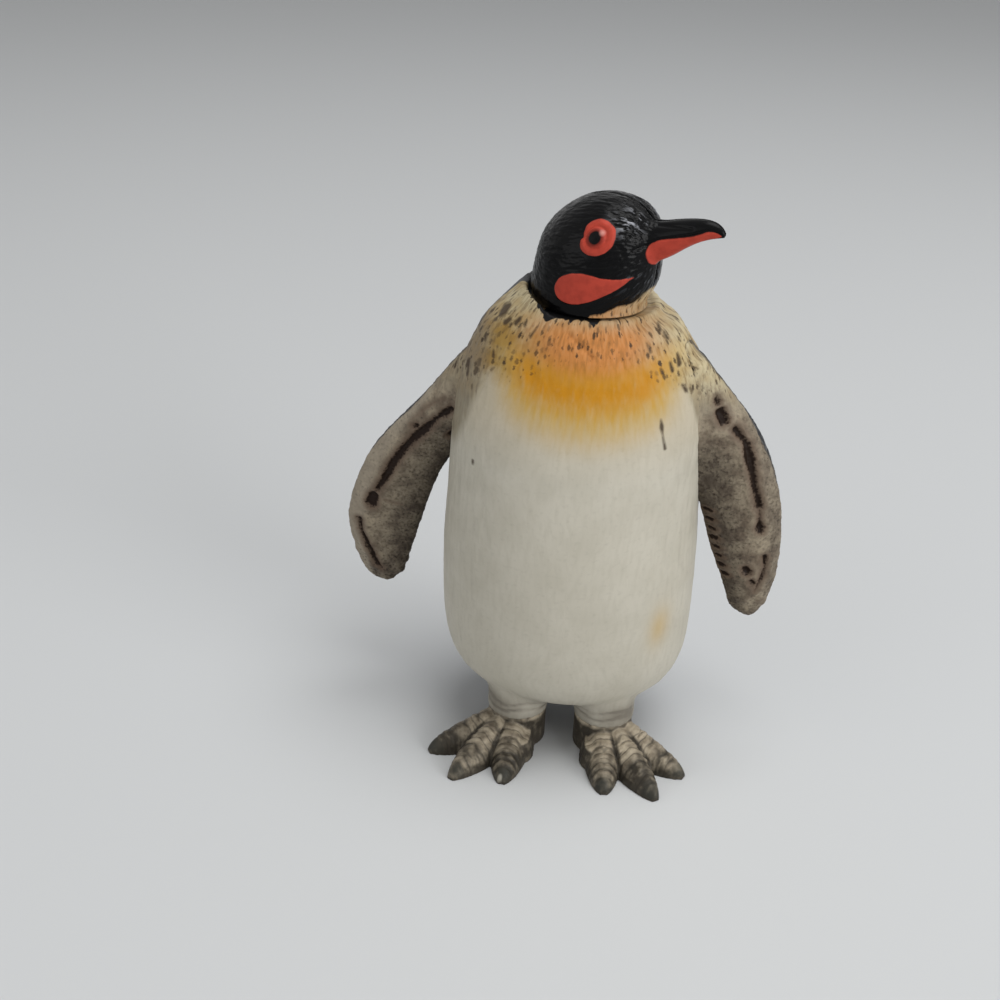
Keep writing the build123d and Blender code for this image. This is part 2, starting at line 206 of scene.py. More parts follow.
# Marks on the flippers' fronts, in the same way; below 0, a half width leaves only a soft brown stain
RIGHT_MARKS = [
    [(-17.3, 50.6, 0.35), (-18.2, 49.8, 0.45), (-18.9, 49.1, 0.2)],
    [
        (-19.2, 48.8, 0.25), (-20.3, 47.5, 0.5), (-22.4, 45.2, 0.65), (-24.2, 42.8, 0.5), (-26.0, 39.8, 0.6),
        (-27.0, 37.6, 0.45), (-28.2, 35.5, 0.35),
    ],
    [(-28.8, 34.3, 0.7), (-29.1, 33.0, 0.8)],
    [(-31.2, 29.6, 0.4), (-31.0, 27.6, 0.2), (-30.4, 25.8, 0.3), (-28.9, 21.7, 0.35), (-28.2, 20.9, 0.1)],
    [(-22.1, 47.2, 0.25), (-22.5, 46.9, 0.3)],
    [(-17.0, 46.6, 0.4), (-17.6, 46.1, 0.3)],
    [(-18.2, 52.0, -0.3), (-20.6, 50.2, -0.2), (-22.8, 47.8, -0.4)],
    [(-27.2, 34.0, -0.35), (-24.6, 33.2, -0.45)],
]
LEFT_MARKS = [
    [(17.0, 55.3, 0.25), (17.2, 54.8, 0.3)],
    [(17.6, 53.5, 0.6), (18.1, 52.6, 0.65)],
    [
        (19.7, 51.4, 0.35), (20.3, 50.8, 0.5), (21.0, 50.0, 0.3), (21.5, 49.3, 0.45), (22.1, 47.6, 0.55),
        (22.6, 45.9, 0.5), (23.3, 43.4, 0.32), (23.9, 41.6, 0.45), (24.2, 40.5, 0.45),
    ],
    [(24.2, 40.5, 0.05), (24.6, 38.4, 0.1), (24.7, 37.3, 0.5), (24.9, 36.8, 0.3)],
    [(26.1, 32.5, 0.3), (26.3, 30.8, 0.1), (26.2, 29.4, 0.2), (25.5, 26.8, -0.05)],
    [(23.8, 30.4, 0.4), (24.1, 29.9, 0.5)],
    [(24.9, 28.3, 0.3), (25.1, 28.0, 0.3)],
]
SCALLOP_COUNT = 8
SCALLOP_PITCH = 1.45
SCALLOP_TOP = 39.0
SCALLOP_INSET = 0.9
SCALLOP_HALF_WIDTH = 0.5
SCALLOP_DEPTH = 0.3
MARK_DEPTH = 0.45
MARK_LIP = 0.12

# Paint of the flippers: by height in millimetres, or by the share of their width from the inner edge
LEFT_DUSK = (0.7, 0.15)
RIGHT_DUSK = (0.9, -0.1)
DUSK_TOP = (52.0, 46.0)
TIP_DUSK = (27.0, 20.0)
TIP_ROUGH = (27.0, 22.0)
RIM_DUSK = (0.72, 0.9)
RIM_DUSK_LOW = (24.0, 28.0)
PALE_EDGE = (0.68, 0.85)
DARK_EDGE = (0.86, 0.94)
DARK_EDGE_LOW = (40.0, 44.0)
DARK_EDGE_HEIGHT = 53.0
ROOT_PAINT = (52.0, 56.0)

# How far the flippers' roots are drawn forward over the flank, in millimetres: height, shift
LEFT_ROOT_SHIFT = [(39.0, 0.0), (45.4, 1.7), (49.6, 2.9), (56.0, 2.9)]
RIGHT_ROOT_SHIFT = [(45.5, 0.0), (48.0, 0.8), (50.3, 1.6), (56.0, 2.2)]
ROOT_FILLET = 4.5
ROOT_SINK = 0.3
LEFT_CREST = 3.0
RIGHT_CREST = 1.0
ARMPIT = 39.0
ARMPIT_REACH = 15.5

# Feet, in millimetres about the neck axis: the left leg, and the left foot's toe tips from the inner one out
LEFT_LEG = (6.3, -4.7)
TOE_TIPS = [(7.2, -16.9), (14.5, -17.0), (18.4, -11.6)]
LEFT_TOE_WASH = (0.65, 0.95, 0.55)
RIGHT_TOE_WASH = (0.9, 0.7, 1.0)
TOE_WRINKLE_PITCH = 1.5
TOE_WRINKLE_DEPTH = 0.06
CLAW_LINE_DEPTH = 0.07
FOOT_BLEND = (0.1, 0.8, 4.8, 5.4)
FOOT_BLEND_ROUNDS = 20

# Toes, by the share of their length from the leg
TOES = (0.25, 0.4, 0.82, 0.9)
TOE_ENDS = (0.35, 0.8)
CLAW_LINE = 0.885
CLAW = (0.82, 0.95)

# A bare chip on the right foot, in millimetres: across and ahead of the leg, and its soft edge
RIGHT_CHIP = (1.2, -12.0)
CHIP_EDGE = (0.5, 0.2)

# Rounds of smoothing over each skin
SHELL_SOFTENING = 2
LIMB_SOFTENING = 3

# Sculpted strokes: width, length and depth in millimetres, and the seed of their noise
BODY_SEED = 1.0
HEAD_STROKE = (0.45, 2.6, 0.12, 2.0)
FLIPPER_STROKE = (0.5, 0.7, 0.12, 3.0)
FOOT_STROKE = (0.5, 2.6, 0.16, 4.0)

# Patterns in the paint, in millimetres: strokes by width and length, blotches and grain by size
BELLY_STROKE = (0.55, 2.6)
BELLY_BLOTCH = 5.0
BELLY_GRAIN = 0.6
BACK_BLOTCH = 4.0
YOKE_STROKE = (0.5, 2.4)
YOKE_BLOTCH = 3.5
HEAD_GRAIN = 0.9
FLIPPER_BARB = (0.6, 2.6)
FLIPPER_BLOTCH = 2.2
FOOT_BLOTCH = 1.6
LIMB_GRIT = 0.4

# Dark dashes: width and length of a dash's cell in millimetres, and the share of them left out
FINE_DASH = (0.75, 1.9, 0.05)
BOLD_DASH = (1.15, 2.6, 0.5)
LARGEST_DASH = 0.36

# Refraction of the moulded PVC
PVC_IOR = 1.53

# The stage, in metres and watts: the floor, the world's two strengths, and lamps by place, size and power
FLOOR_REACH = 3.0
FLOOR_CORNERS = ((-1, -1), (1, -1), (1, 1), (-1, 1))
FLOOR_ROUGHNESS = 0.8
WORLD_LIGHT = 0.3
WORLD_SEEN = 0.75
LAMP_AIM = Vector((0, 0, 0.04))
LAMPS = (
    ("overhead softbox", (0.15, -0.05, 0.75), 0.6, 3.4),
    ("right softbox", (0.62, -0.45, 0.28), 0.5, 2.9),
    ("left fill", (-0.55, -0.45, 0.18), 0.6, 0.85),
)

# Camera of the photograph's view
CAMERA_PLACE = (0.00611, -0.14820, 0.11743)
CAMERA_PITCH = math.radians(28.6156)
CAMERA_YAW = math.radians(5.5)
CAMERA_ROLL = math.radians(2.244)
CAMERA_LENS = 43.965
CAMERA_NEAREST = 0.01
SENSOR_WIDTH = 36.0


def linear(hex_colour):
    """An sRGB hex colour as linear red, green and blue, with full opacity."""
    shares = [int(hex_colour[k:k + 2], 16) / 255 for k in (1, 3, 5)]
    return [*(s / 12.92 if s <= 0.04045 else ((s + 0.055) / 1.055) ** 2.4 for s in shares), 1.0]


def smoothstep(low, high, value):
    """Soft step from 0 at low to 1 at high, in either order."""
    share = np.clip((value - low) / (high - low), 0, 1)
    return share * share * (3 - 2 * share)


def band(value, start, full, fade, end):
    """Soft band: 0 up to start, 1 from full to fade, 0 again from end on."""
    return smoothstep(start, full, value) * smoothstep(end, fade, value)


def bell(value, middle, width):
    """Bell curve of height 1."""
    return np.exp(-((value - middle) / width) ** 2)


def path_gap(places, path):
    """Distance of flat places to a path of points, less the half width that each point may have."""
    path = np.asarray(path, float)
    half = path[:, 2] if path.shape[1] == 3 else np.zeros(len(path))
    nearest = np.full(len(places), np.inf)
    for k in range(len(path) - 1):
        run = path[k + 1, :2] - path[k, :2]
        share = np.clip((places - path[k, :2]) @ run / (run @ run), 0, 1)
        away = np.linalg.norm(places - path[k, :2] - share[:, None] * run, axis=1)
        nearest = np.minimum(nearest, away - half[k] - share * (half[k + 1] - half[k]))
    return nearest


def nearest_path(places, paths):
    """Distance of flat places to the nearest of several paths."""
    return np.min([path_gap(places, path) for path in paths], axis=0)


def closed_curve(points, steps=8):
    """Smooth closed line through the points of an outline."""
    points = np.asarray(points, float)
    before, after, beyond = (np.roll(points, k, axis=0) for k in (1, -1, -2))
    line = []
    for k in range(len(points)):
        for t in np.arange(steps) / steps:
            bend = 2 * before[k] - 5 * points[k] + 4 * after[k] - beyond[k]
            twist = 3 * (points[k] - after[k]) + beyond[k] - before[k]
            line.append(points[k] + 0.5 * t * (after[k] - before[k] + t * (bend + t * twist)))
    return np.array(line + line[:1])


def outline_depth(places, outline):
    """Distance to a smooth closed outline, negative inside it."""
    line = closed_curve(outline)
    inside = np.zeros(len(places), bool)
    for (x0, y0), (x1, y1) in zip(line[:-1], line[1:]):
        spans = (y0 > places[:, 1]) != (y1 > places[:, 1])
        cross = x0 + (places[:, 1] - y0) * (x1 - x0) / (y1 - y0 if y1 != y0 else 1)
        inside ^= spans & (places[:, 0] < cross)
    return path_gap(places, line) * np.where(inside, -1, 1)


def ragged(angle):
    """Uneven brush tips round the neck, from 0 to 1."""
    tips = [
        height * (1 - np.abs(np.sin(pace * angle + start))) ** 4
        for pace, start, height in ((4.5, 0.4, 1.0), (7.9, 1.9, 0.7), (13.1, 0.0, 0.4))
    ]
    return np.max(tips, axis=0)


class Skin:
    """One piece on the bench: an even skin over its CAD node, with points and normals in millimetres."""

    def __init__(self, node_name, voxel, soften):
        mesh = frame["nodes"][node_name].data.copy()
        mesh.transform(TO_BENCH)
        work = bmesh.new()
        work.from_mesh(mesh)
        bmesh.ops.remove_doubles(work, verts=work.verts, dist=MM)
        work.to_mesh(mesh)
        work.free()
        self.node_name = node_name
        self.piece = bpy.data.objects.new("painted_" + node_name, mesh)
        bpy.context.scene.collection.objects.link(self.piece)
        remesh = self.piece.modifiers.new("even skin", "REMESH")
        remesh.mode = "VOXEL"
        remesh.voxel_size = voxel
        smooth = self.piece.modifiers.new("soften", "SMOOTH")
        smooth.factor = 0.5
        smooth.iterations = soften
        self.make_plain()

    def make_plain(self):
        """Turn the evaluated piece into a plain mesh with no modifiers."""
        evaluated = self.piece.evaluated_get(bpy.context.evaluated_depsgraph_get())
        mesh = bpy.data.meshes.new_from_object(evaluated)
        self.piece.modifiers.clear()
        self.piece.data = mesh
        self.measure()

    def measure(self):
        """Take the points and normals from the mesh."""
        mesh = self.piece.data
        count = len(mesh.vertices)
        self.points = np.empty(count * 3)
        mesh.vertices.foreach_get("co", self.points)
        self.points = self.points.reshape(count, 3)
        self.normals = np.empty(count * 3, np.float32)
        mesh.vertex_normals.foreach_get("vector", self.normals)
        self.normals = self.normals.reshape(count, 3).astype(float)

    def move(self, points):
        """Move the points and measure the skin again."""
        self.piece.data.vertices.foreach_set("co", points.ravel())
        self.piece.data.update()
        self.measure()

    def push(self, height):
        """Raise the skin along its normals by a height for each point."""
        self.move(self.points + self.normals * height[:, None])

    def relax(self, weight, rounds):
        """Round off the skin where the weight is above 0."""
        edges = np.empty(len(self.piece.data.edges) * 2, np.int32)
        self.piece.data.edges.foreach_get("vertices", edges)
        one, other = edges.reshape(-1, 2).T
        points = self.points.copy()
        count = np.bincount(edges, minlength=len(points))
        for _ in range(rounds):
            for axis in range(3):
                total = np.bincount(one, points[other, axis], len(points))
                total += np.bincount(other, points[one, axis], len(points))
                points[:, axis] += 0.5 * weight * (total / count - points[:, axis])
        self.move(points)

    def paint(self, **values):
        """Keep a value or a vector for each point under its name, for the relief and the paint."""
        for name, value in values.items():
            kind, key = ("FLOAT", "value") if value.ndim == 1 else ("FLOAT_VECTOR", "vector")
            attribute = self.piece.data.attributes.new(name, kind, "POINT")
            attribute.data.foreach_set(key, value.astype(np.float32).ravel())

    def carve(self, width, length, depth, seed, material):
        """Cut strokes along the painted flow with the geometry node tree, and give the piece its material."""
        tree = bpy.data.node_groups.get(STROKE_TREE) or stroke_tree()
        modifier = self.piece.modifiers.new("strokes", "NODES")
        modifier.node_group = tree
        wanted = {
            "Stroke Width": width, "Stroke Length": length, "Depth": depth, "Seed": seed,
            "Material": material,
        }
        for item in tree.interface.items_tree:
            if item.in_out == "INPUT" and item.name in wanted:
                modifier[item.identifier] = wanted[item.name]
        self.make_plain()

    def hand_over(self, body, slot):
        """Put the finished piece back in the frame, in metres, on its body."""
        self.piece.data.transform(TO_BENCH.inverted())
        self.piece.data.shade_smooth()
        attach(self.piece, body)
        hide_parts(self.node_name)


def node(tree, kind, links=None, **settings):
    """Add a node with its settings; an input takes a value, a socket, or another node's first output."""
    made = tree.nodes.new(kind)
    for name, value in settings.items():
        setattr(made, name, value)
    for name, source in (links or {}).items():
        if isinstance(source, bpy.types.Node):
            source = source.outputs[0]
        if isinstance(source, bpy.types.NodeSocket):
            tree.links.new(source, made.inputs[name])
        else:
            made.inputs[name].default_value = source
    return made


STROKE_TREE = "plumage strokes"


def stroke_tree():
    """Geometry nodes that raise and sink a skin in long strokes along its flow."""
    tree = bpy.data.node_groups.new(STROKE_TREE, "GeometryNodeTree")
    tree.is_modifier = True
    tree.interface.new_socket("Geometry", in_out="INPUT", socket_type="NodeSocketGeometry")
    for name in ("Stroke Width", "Stroke Length", "Depth", "Seed"):
        tree.interface.new_socket(name, in_out="INPUT", socket_type="NodeSocketFloat")
    tree.interface.new_socket("Material", in_out="INPUT", socket_type="NodeSocketMaterial")
    tree.interface.new_socket("Geometry", in_out="OUTPUT", socket_type="NodeSocketGeometry")
    given = node(tree, "NodeGroupInput").outputs
    flow = node(tree, "GeometryNodeInputNamedAttribute", {"Name": "flow"}, data_type="FLOAT_VECTOR")
    plumage = node(tree, "GeometryNodeInputNamedAttribute", {"Name": "plumage"}, data_type="FLOAT")
    width = given["Stroke Width"]
    stroke = node(tree, "ShaderNodeCombineXYZ", {0: width, 1: given["Stroke Length"], 2: width})
    placed = node(tree, "ShaderNodeVectorMath", {0: flow.outputs["Attribute"], 1: stroke}, operation="DIVIDE")
    noise = node(
        tree, "ShaderNodeTexNoise",
        {"Vector": placed, "W": given["Seed"], "Scale": 1.0, "Detail": 2.0, "Roughness": 0.55},
        noise_dimensions="4D",
    )
    height = node(tree, "ShaderNodeMapRange", {"Value": noise, "From Min": 0.3, "From Max": 0.7})
    centred = node(tree, "ShaderNodeMath", {0: height, 1: 0.5}, operation="SUBTRACT")
    deep = node(tree, "ShaderNodeMath", {0: centred, 1: given["Depth"]}, operation="MULTIPLY")
    lift = node(tree, "ShaderNodeMath", {0: deep, 1: plumage.outputs["Attribute"]}, operation="MULTIPLY")
    normal = node(tree, "GeometryNodeInputNormal")
    offset = node(tree, "ShaderNodeVectorMath", {0: normal, 3: lift}, operation="SCALE")
    kept = node(
        tree, "GeometryNodeStoreNamedAttribute",
        {"Geometry": given["Geometry"], "Name": "relief", "Value": height}, data_type="FLOAT", domain="POINT",
    )
    moved = node(tree, "GeometryNodeSetPosition", {"Geometry": kept, "Offset": offset})
    real = node(tree, "GeometryNodeRealizeInstances", {"Geometry": moved})
    dressed = node(tree, "GeometryNodeSetMaterial", {"Geometry": real, "Material": given["Material"]})
    node(tree, "NodeGroupOutput", {"Geometry": dressed})
    return tree


def new_material(name, attributes, gloss):
    """A node material with its shader, and the piece's painted values by name."""
    material = bpy.data.materials.new(name)
    material.use_nodes = True
    tree = material.node_tree
    tree.nodes.clear()
    shader = node(tree, "ShaderNodeBsdfPrincipled", {"IOR": PVC_IOR, "Specular IOR Level": gloss})
    node(tree, "ShaderNodeOutputMaterial", {"Surface": shader})
    painted = {}
    for attribute in attributes:
        read = node(tree, "ShaderNodeAttribute", attribute_name=attribute)
        painted[attribute] = read.outputs["Vector" if attribute in ("flow", "place") else "Fac"]
    return material, tree, shader, painted


def brush_layers(tree, colour, layers):
    """Lay paints over a colour: each by its mask, or where a value runs from bare to full, within a place."""
    for mask, paint, *reach in layers:
        if reach:
            bare, full, most, *within = reach
            links = {"Value": mask, "From Min": bare, "From Max": full, "To Max": most}
            mask = node(tree, "ShaderNodeMapRange", links)
            for place in within:
                mask = node(tree, "ShaderNodeMath", {0: mask, 1: place}, operation="MULTIPLY")
        colour = node(tree, "ShaderNodeMix", {0: mask, 6: colour, 7: paint}, data_type="RGBA").outputs[2]
    return colour


def finish_paint(tree, shader, colour, uneven, roughness, grain=None, strength=0.0, depth=0.0):
    """Give the shader its colour, a sheen between two roughnesses, and the paint's grain with its depth."""
    smooth, rough = roughness
    sheen = node(tree, "ShaderNodeMapRange", {"Value": uneven, "To Min": smooth, "To Max": rough})
    tree.links.new(colour, shader.inputs["Base Color"])
    tree.links.new(sheen.outputs[0], shader.inputs["Roughness"])
    if grain is not None:
        bump = node(tree, "ShaderNodeBump", {"Height": grain, "Strength": strength, "Distance": depth * MM})
        tree.links.new(bump.outputs[0], shader.inputs["Normal"])
    return sheen


def dashes(tree, place, amount, width, length, bare):
    """Uneven dark dashes on a flat map, with a share of them left out, thinned by the amount."""
    bend = node(tree, "ShaderNodeTexNoise", {"Vector": place, "Scale": 1.6 / width, "Detail": 2.0})
    bent = node(
        tree, "ShaderNodeVectorMath",
        {0: bend.outputs["Color"], 1: (0.7 * width, 0.4 * length, 0.0), 2: place}, operation="MULTIPLY_ADD",
    )
    cells = node(tree, "ShaderNodeMapping", {"Vector": bent, "Scale": (1 / width, 1 / length, 1.0)})
    spot = node(tree, "ShaderNodeTexVoronoi", {"Vector": cells, "Scale": 1.0}, voronoi_dimensions="2D")
    chance = node(tree, "ShaderNodeSeparateColor", {0: spot.outputs["Color"]})
    grown = node(tree, "ShaderNodeMapRange", {"Value": chance, "From Min": bare, "To Max": LARGEST_DASH})
    kept = node(tree, "ShaderNodeMath", {0: grown, 1: amount}, operation="MULTIPLY")
    inside = node(tree, "ShaderNodeMath", {0: kept, 1: spot.outputs["Distance"]}, operation="SUBTRACT")
    sharp = node(tree, "ShaderNodeMapRange", {"Value": inside, "From Min": -0.09, "From Max": 0.1})
    strength = node(tree, "ShaderNodeMapRange", {"Value": chance.outputs[1], "To Min": 0.3, "To Max": 0.95})
    ends = node(tree, "ShaderNodeMapRange", {"Value": amount, "From Max": 0.3})
    laid = node(tree, "ShaderNodeMath", {0: sharp, 1: ends}, operation="MULTIPLY")
    return node(tree, "ShaderNodeMath", {0: laid, 1: strength}, operation="MULTIPLY")


def yoke_paint(tree, place, painted, colours):
    """Neck and shoulders: straw and cream grounds under fine brown strokes, with painted shade toward the
    figure's right and beside the flippers, and dark dashes to lay on top.
    """
    width, length = YOKE_STROKE
    blotch = node(tree, "ShaderNodeTexNoise", {"Vector": place, "Scale": 1 / YOKE_BLOTCH, "Detail": 4.0})
    mottled = node(tree, "ShaderNodeMath", {0: blotch, 1: 1.6, 2: -0.8}, operation="MULTIPLY_ADD")
    # Straw where the amount and the mottling allow it, deeper toward the figure's right as painted shade
    straw_and_shade = node(tree, "ShaderNodeMath", {0: painted["straw_and_shade"], 1: mottled}, operation="ADD")
    feather = node(tree, "ShaderNodeMapping", {"Vector": place, "Scale": (1 / width, 1 / length, 1.0)})
    barb = node(tree, "ShaderNodeTexNoise", {"Vector": feather, "Scale": 1.0, "Detail": 3.0})
    ground = brush_layers(tree, colours.cream, [
        (straw_and_shade, colours.straw, 0.1, 0.9, 1.0),
        (barb, colours.umber, 0.47, 0.7, 0.7),
        # Painted shade beside the flippers and on the figure's right shoulder
        (painted["shoulder_shade"], colours.dust),
    ])
    return ground, [
        (dashes(tree, place, painted["speckle"], *FINE_DASH), colours.speckle),
        (dashes(tree, place, painted["bold"], *BOLD_DASH), colours.speckle),
    ]


def front_paint(colours):
    """Moulded PVC with satin hand paint: a broad soft sheen, a sprayed bib and thin wash in the recesses."""
    names = (
        "flow", "relief", "flank", "gold", "amber", "peach", "yoke", "straw_and_shade", "speckle", "bold", "shoulder_shade",
        "cuff", "seam", "black", "marks", "stain",
    )
    material, tree, shader, painted = new_material("moulded PVC, satin ivory hand paint", names, gloss=0.16)
    place = painted["flow"]
    width, length = BELLY_STROKE
    stroke = node(tree, "ShaderNodeMapping", {"Vector": place, "Scale": (1 / width, 1 / length, 1.0)})
    streak = node(tree, "ShaderNodeTexNoise", {"Vector": stroke, "Scale": 1.0, "Detail": 3.0})
    grain = node(tree, "ShaderNodeTexNoise", {"Vector": place, "Scale": 1 / BELLY_GRAIN, "Detail": 3.0})
    blotch = node(tree, "ShaderNodeTexNoise", {"Vector": place, "Scale": 1 / BELLY_BLOTCH, "Detail": 4.0})
    wrinkled = node(tree, "ShaderNodeMath", {0: blotch, 1: 1.8, 2: -0.2}, operation="MULTIPLY_ADD")
    cuffed = node(tree, "ShaderNodeMath", {0: painted["cuff"], 1: wrinkled}, operation="MULTIPLY")
    uneven = node(tree, "ShaderNodeMath", {0: streak, 1: 0.9, 2: -0.45}, operation="MULTIPLY_ADD")
    amber, gold, peach, yoke = (
        node(tree, "ShaderNodeMath", {0: spray, 1: uneven, 2: spray}, operation="MULTIPLY_ADD")
        for spray in (painted[name] for name in ("amber", "gold", "peach", "yoke"))
    )
    ground, specks = yoke_paint(tree, place, painted, colours)
    colour = brush_layers(tree, colours.ivory, [
        (blotch, colours.ivory_shade, 0.38, 0.66, 0.55),
        (streak, colours.ivory_shade, 0.45, 0.75, 0.6),
        (grain, colours.ivory_wash, 0.55, 0.8, 0.2),
        (painted["relief"], colours.ivory_wash, 0.42, 0.0, 0.22, painted["flank"]),
        (painted["stain"], colours.amber),
        (cuffed, colours.dust),
        (yoke, ground, 0.1, 0.9, 1.0),
        (peach, colours.peach, 0.0, 1.0, 1.0),
        (streak, colours.umber, 0.45, 0.75, 0.6, painted["peach"]),
        (amber, colours.amber, 0.0, 1.1, 1.0),
        (gold, colours.gold, 0.0, 1.0, 1.0),
        (painted["relief"], colours.cream, 0.6, 1.0, 0.2, painted["amber"]),
        (painted["seam"], colours.dust),
        *specks,
        (painted["marks"], colours.speckle, 0.15, -0.1, 0.92),
        (painted["black"], colours.gloss_black, -0.08, 0.08, 1.0),
    ])
    finish_paint(tree, shader, colour, blotch, (0.42, 0.62), grain, strength=0.35, depth=0.05)
    return material


def back_paint(colours):
    """Moulded PVC with satin dark grey paint: pale dry brush on the raised strokes, black at the nape."""
    names = ("flow", "place", "relief", "black", "yoke", "straw_and_shade", "speckle", "bold", "shoulder_shade")
    title = "moulded PVC, satin charcoal hand paint"
    material, tree, shader, painted = new_material(title, names, gloss=0.25)
    place = painted["flow"]
    blotch = node(tree, "ShaderNodeTexNoise", {"Vector": place, "Scale": 1 / BACK_BLOTCH, "Detail": 4.0})
    uneven = node(tree, "ShaderNodeMapRange", {"Value": blotch, "From Min": 0.35, "From Max": 0.65})
    edge = node(tree, "ShaderNodeMath", {0: blotch, 1: 1.2, 2: painted["yoke"]}, operation="MULTIPLY_ADD")
    ground, specks = yoke_paint(tree, painted["place"], painted, colours)
    shoulder = brush_layers(tree, ground, specks)
    colour = brush_layers(tree, colours.charcoal, [
        (uneven, colours.slate),
        (painted["relief"], colours.dry_brush, 0.5, 0.95, 0.75, uneven),
        (edge, shoulder, 0.9, 1.2, 1.0),
        (painted["black"], colours.gloss_black, -0.3, 0.3, 1.0),
    ])
    finish_paint(tree, shader, colour, blotch, (0.4, 0.62))
    return material


def head_paint(colours):
    """Moulded PVC with glossy black paint: sharp small highlights on the feathers, flat coral patches."""
    names = (
        "place", "relief", "coral", "ring", "pupil", "glint", "throat", "frost", "scuff", "warmth", "straw_and_shade",
        "speckle", "bold", "shoulder_shade",
    )
    material, tree, shader, painted = new_material("moulded PVC, glossy black hand paint", names, gloss=0.1)
    place = node(tree, "ShaderNodeTexCoord").outputs["Object"]
    grain = node(tree, "ShaderNodeTexNoise", {"Vector": place, "Scale": 1 / (HEAD_GRAIN * MM), "Detail": 3.0})
    wobble = node(tree, "ShaderNodeMath", {0: grain, 1: 0.2, 2: -0.1}, operation="MULTIPLY_ADD")
    patch, ring, pupil, glint, throat = (
        node(tree, "ShaderNodeMath", {0: painted[name], 1: wobble}, operation="ADD")
        for name in ("coral", "ring", "pupil", "glint", "throat")
    )
    patched = node(tree, "ShaderNodeMapRange", {"Value": patch, "From Min": 0.05, "From Max": -0.05})
    coral = brush_layers(tree, colours.coral, [
        (grain, colours.coral_shade, 0.4, 0.7, 0.35),
        (ring, colours.coral_shade, 0.15, -0.15, 1.0),
    ])
    ground, specks = yoke_paint(tree, painted["place"], painted, colours)
    neck = brush_layers(tree, ground, [(painted["warmth"], colours.peach), *specks])
    colour = brush_layers(tree, colours.gloss_black, [
        # Grey on the raised feathers, with painted sheen on the far crown and the throat
        (painted["relief"], colours.frost, 0.6, 1.0, 1.0, painted["frost"]),
        # Painted highlights on the forehead's feather crests
        (painted["relief"], colours.scuff, 0.56, 0.82, 1.0, painted["scuff"]),
        (throat, neck, 0.15, -0.15, 1.0),
        (patched, coral),
        (pupil, colours.gloss_black, 0.12, -0.12, 1.0),
        (glint, colours.glint, 0.22, -0.22, 1.0),
    ])
    sheen = finish_paint(tree, shader, colour, grain, (0.1, 0.36))
    dull = node(tree, "ShaderNodeMath", {0: patched, 1: 0.2, 2: sheen}, operation="MULTIPLY_ADD")
    tree.links.new(dull.outputs[0], shader.inputs["Roughness"])
    return material


def flipper_paint(colours):
    """Moulded PVC, grey-brown satin paint: dark wash in grooves and pits, and on the skin's small bumps."""
    names = (
        "flow", "place", "relief", "wash", "pale", "dusk", "dorsal", "root", "straw_and_shade", "speckle", "bold",
        "shoulder_shade",
    )
    title = "moulded PVC, grey-brown paint with dark wash"
    material, tree, shader, painted = new_material(title, names, gloss=0.12)
    flow = painted["flow"]
    width, length = FLIPPER_BARB
    blotch = node(tree, "ShaderNodeTexNoise", {"Vector": flow, "Scale": 1 / FLIPPER_BLOTCH, "Detail": 5.0})
    grit = node(tree, "ShaderNodeTexNoise", {"Vector": flow, "Scale": 1 / LIMB_GRIT, "Detail": 3.0})
    feather = node(tree, "ShaderNodeMapping", {"Vector": flow, "Scale": (1 / width, 1 / length, 1 / width)})
    barb = node(tree, "ShaderNodeTexNoise", {"Vector": feather, "Scale": 1.0, "Detail": 3.0})
    rough = node(tree, "ShaderNodeMath", {0: blotch, 1: 1.2, 2: painted["dusk"]}, operation="MULTIPLY_ADD")
    stipple = node(tree, "ShaderNodeMath", {0: grit, 1: 1.1, 2: rough}, operation="MULTIPLY_ADD")
    nibbled = node(tree, "ShaderNodeMath", {0: grit, 1: 0.9, 2: -0.85}, operation="MULTIPLY_ADD")
    edge = node(tree, "ShaderNodeMath", {0: blotch, 1: 0.8, 2: nibbled}, operation="MULTIPLY_ADD")
    groove = node(tree, "ShaderNodeMath", {0: painted["wash"], 1: edge}, operation="ADD")
    slate = brush_layers(tree, colours.charcoal, [(barb, colours.dry_brush, 0.5, 0.8, 0.6)])
    ground, specks = yoke_paint(tree, painted["place"], painted, colours)
    colour = brush_layers(tree, colours.limb, [
        (blotch, colours.limb_umber, 0.44, 0.66, 0.7),
        (painted["relief"], colours.limb_shade, 0.45, 0.1, 0.3),
        (stipple, colours.limb_shade, 0.95, 2.15, 0.88),
        (painted["pale"], colours.limb_pale),
        (grit, colours.limb_shade, 0.56, 0.75, 0.4),
        (grit, colours.limb_wash, 0.54, 0.72, 0.65, painted["dusk"]),
        (painted["root"], ground),
        (groove, colours.limb_umber, 0.9, 0.1, 0.9),
        (groove, colours.limb_wash, 0.14, -0.14, 1.0),
        *specks,
        (painted["dorsal"], slate),
    ])
    finish_paint(tree, shader, colour, blotch, (0.4, 0.65), grit, strength=0.6, depth=0.06)
    return material


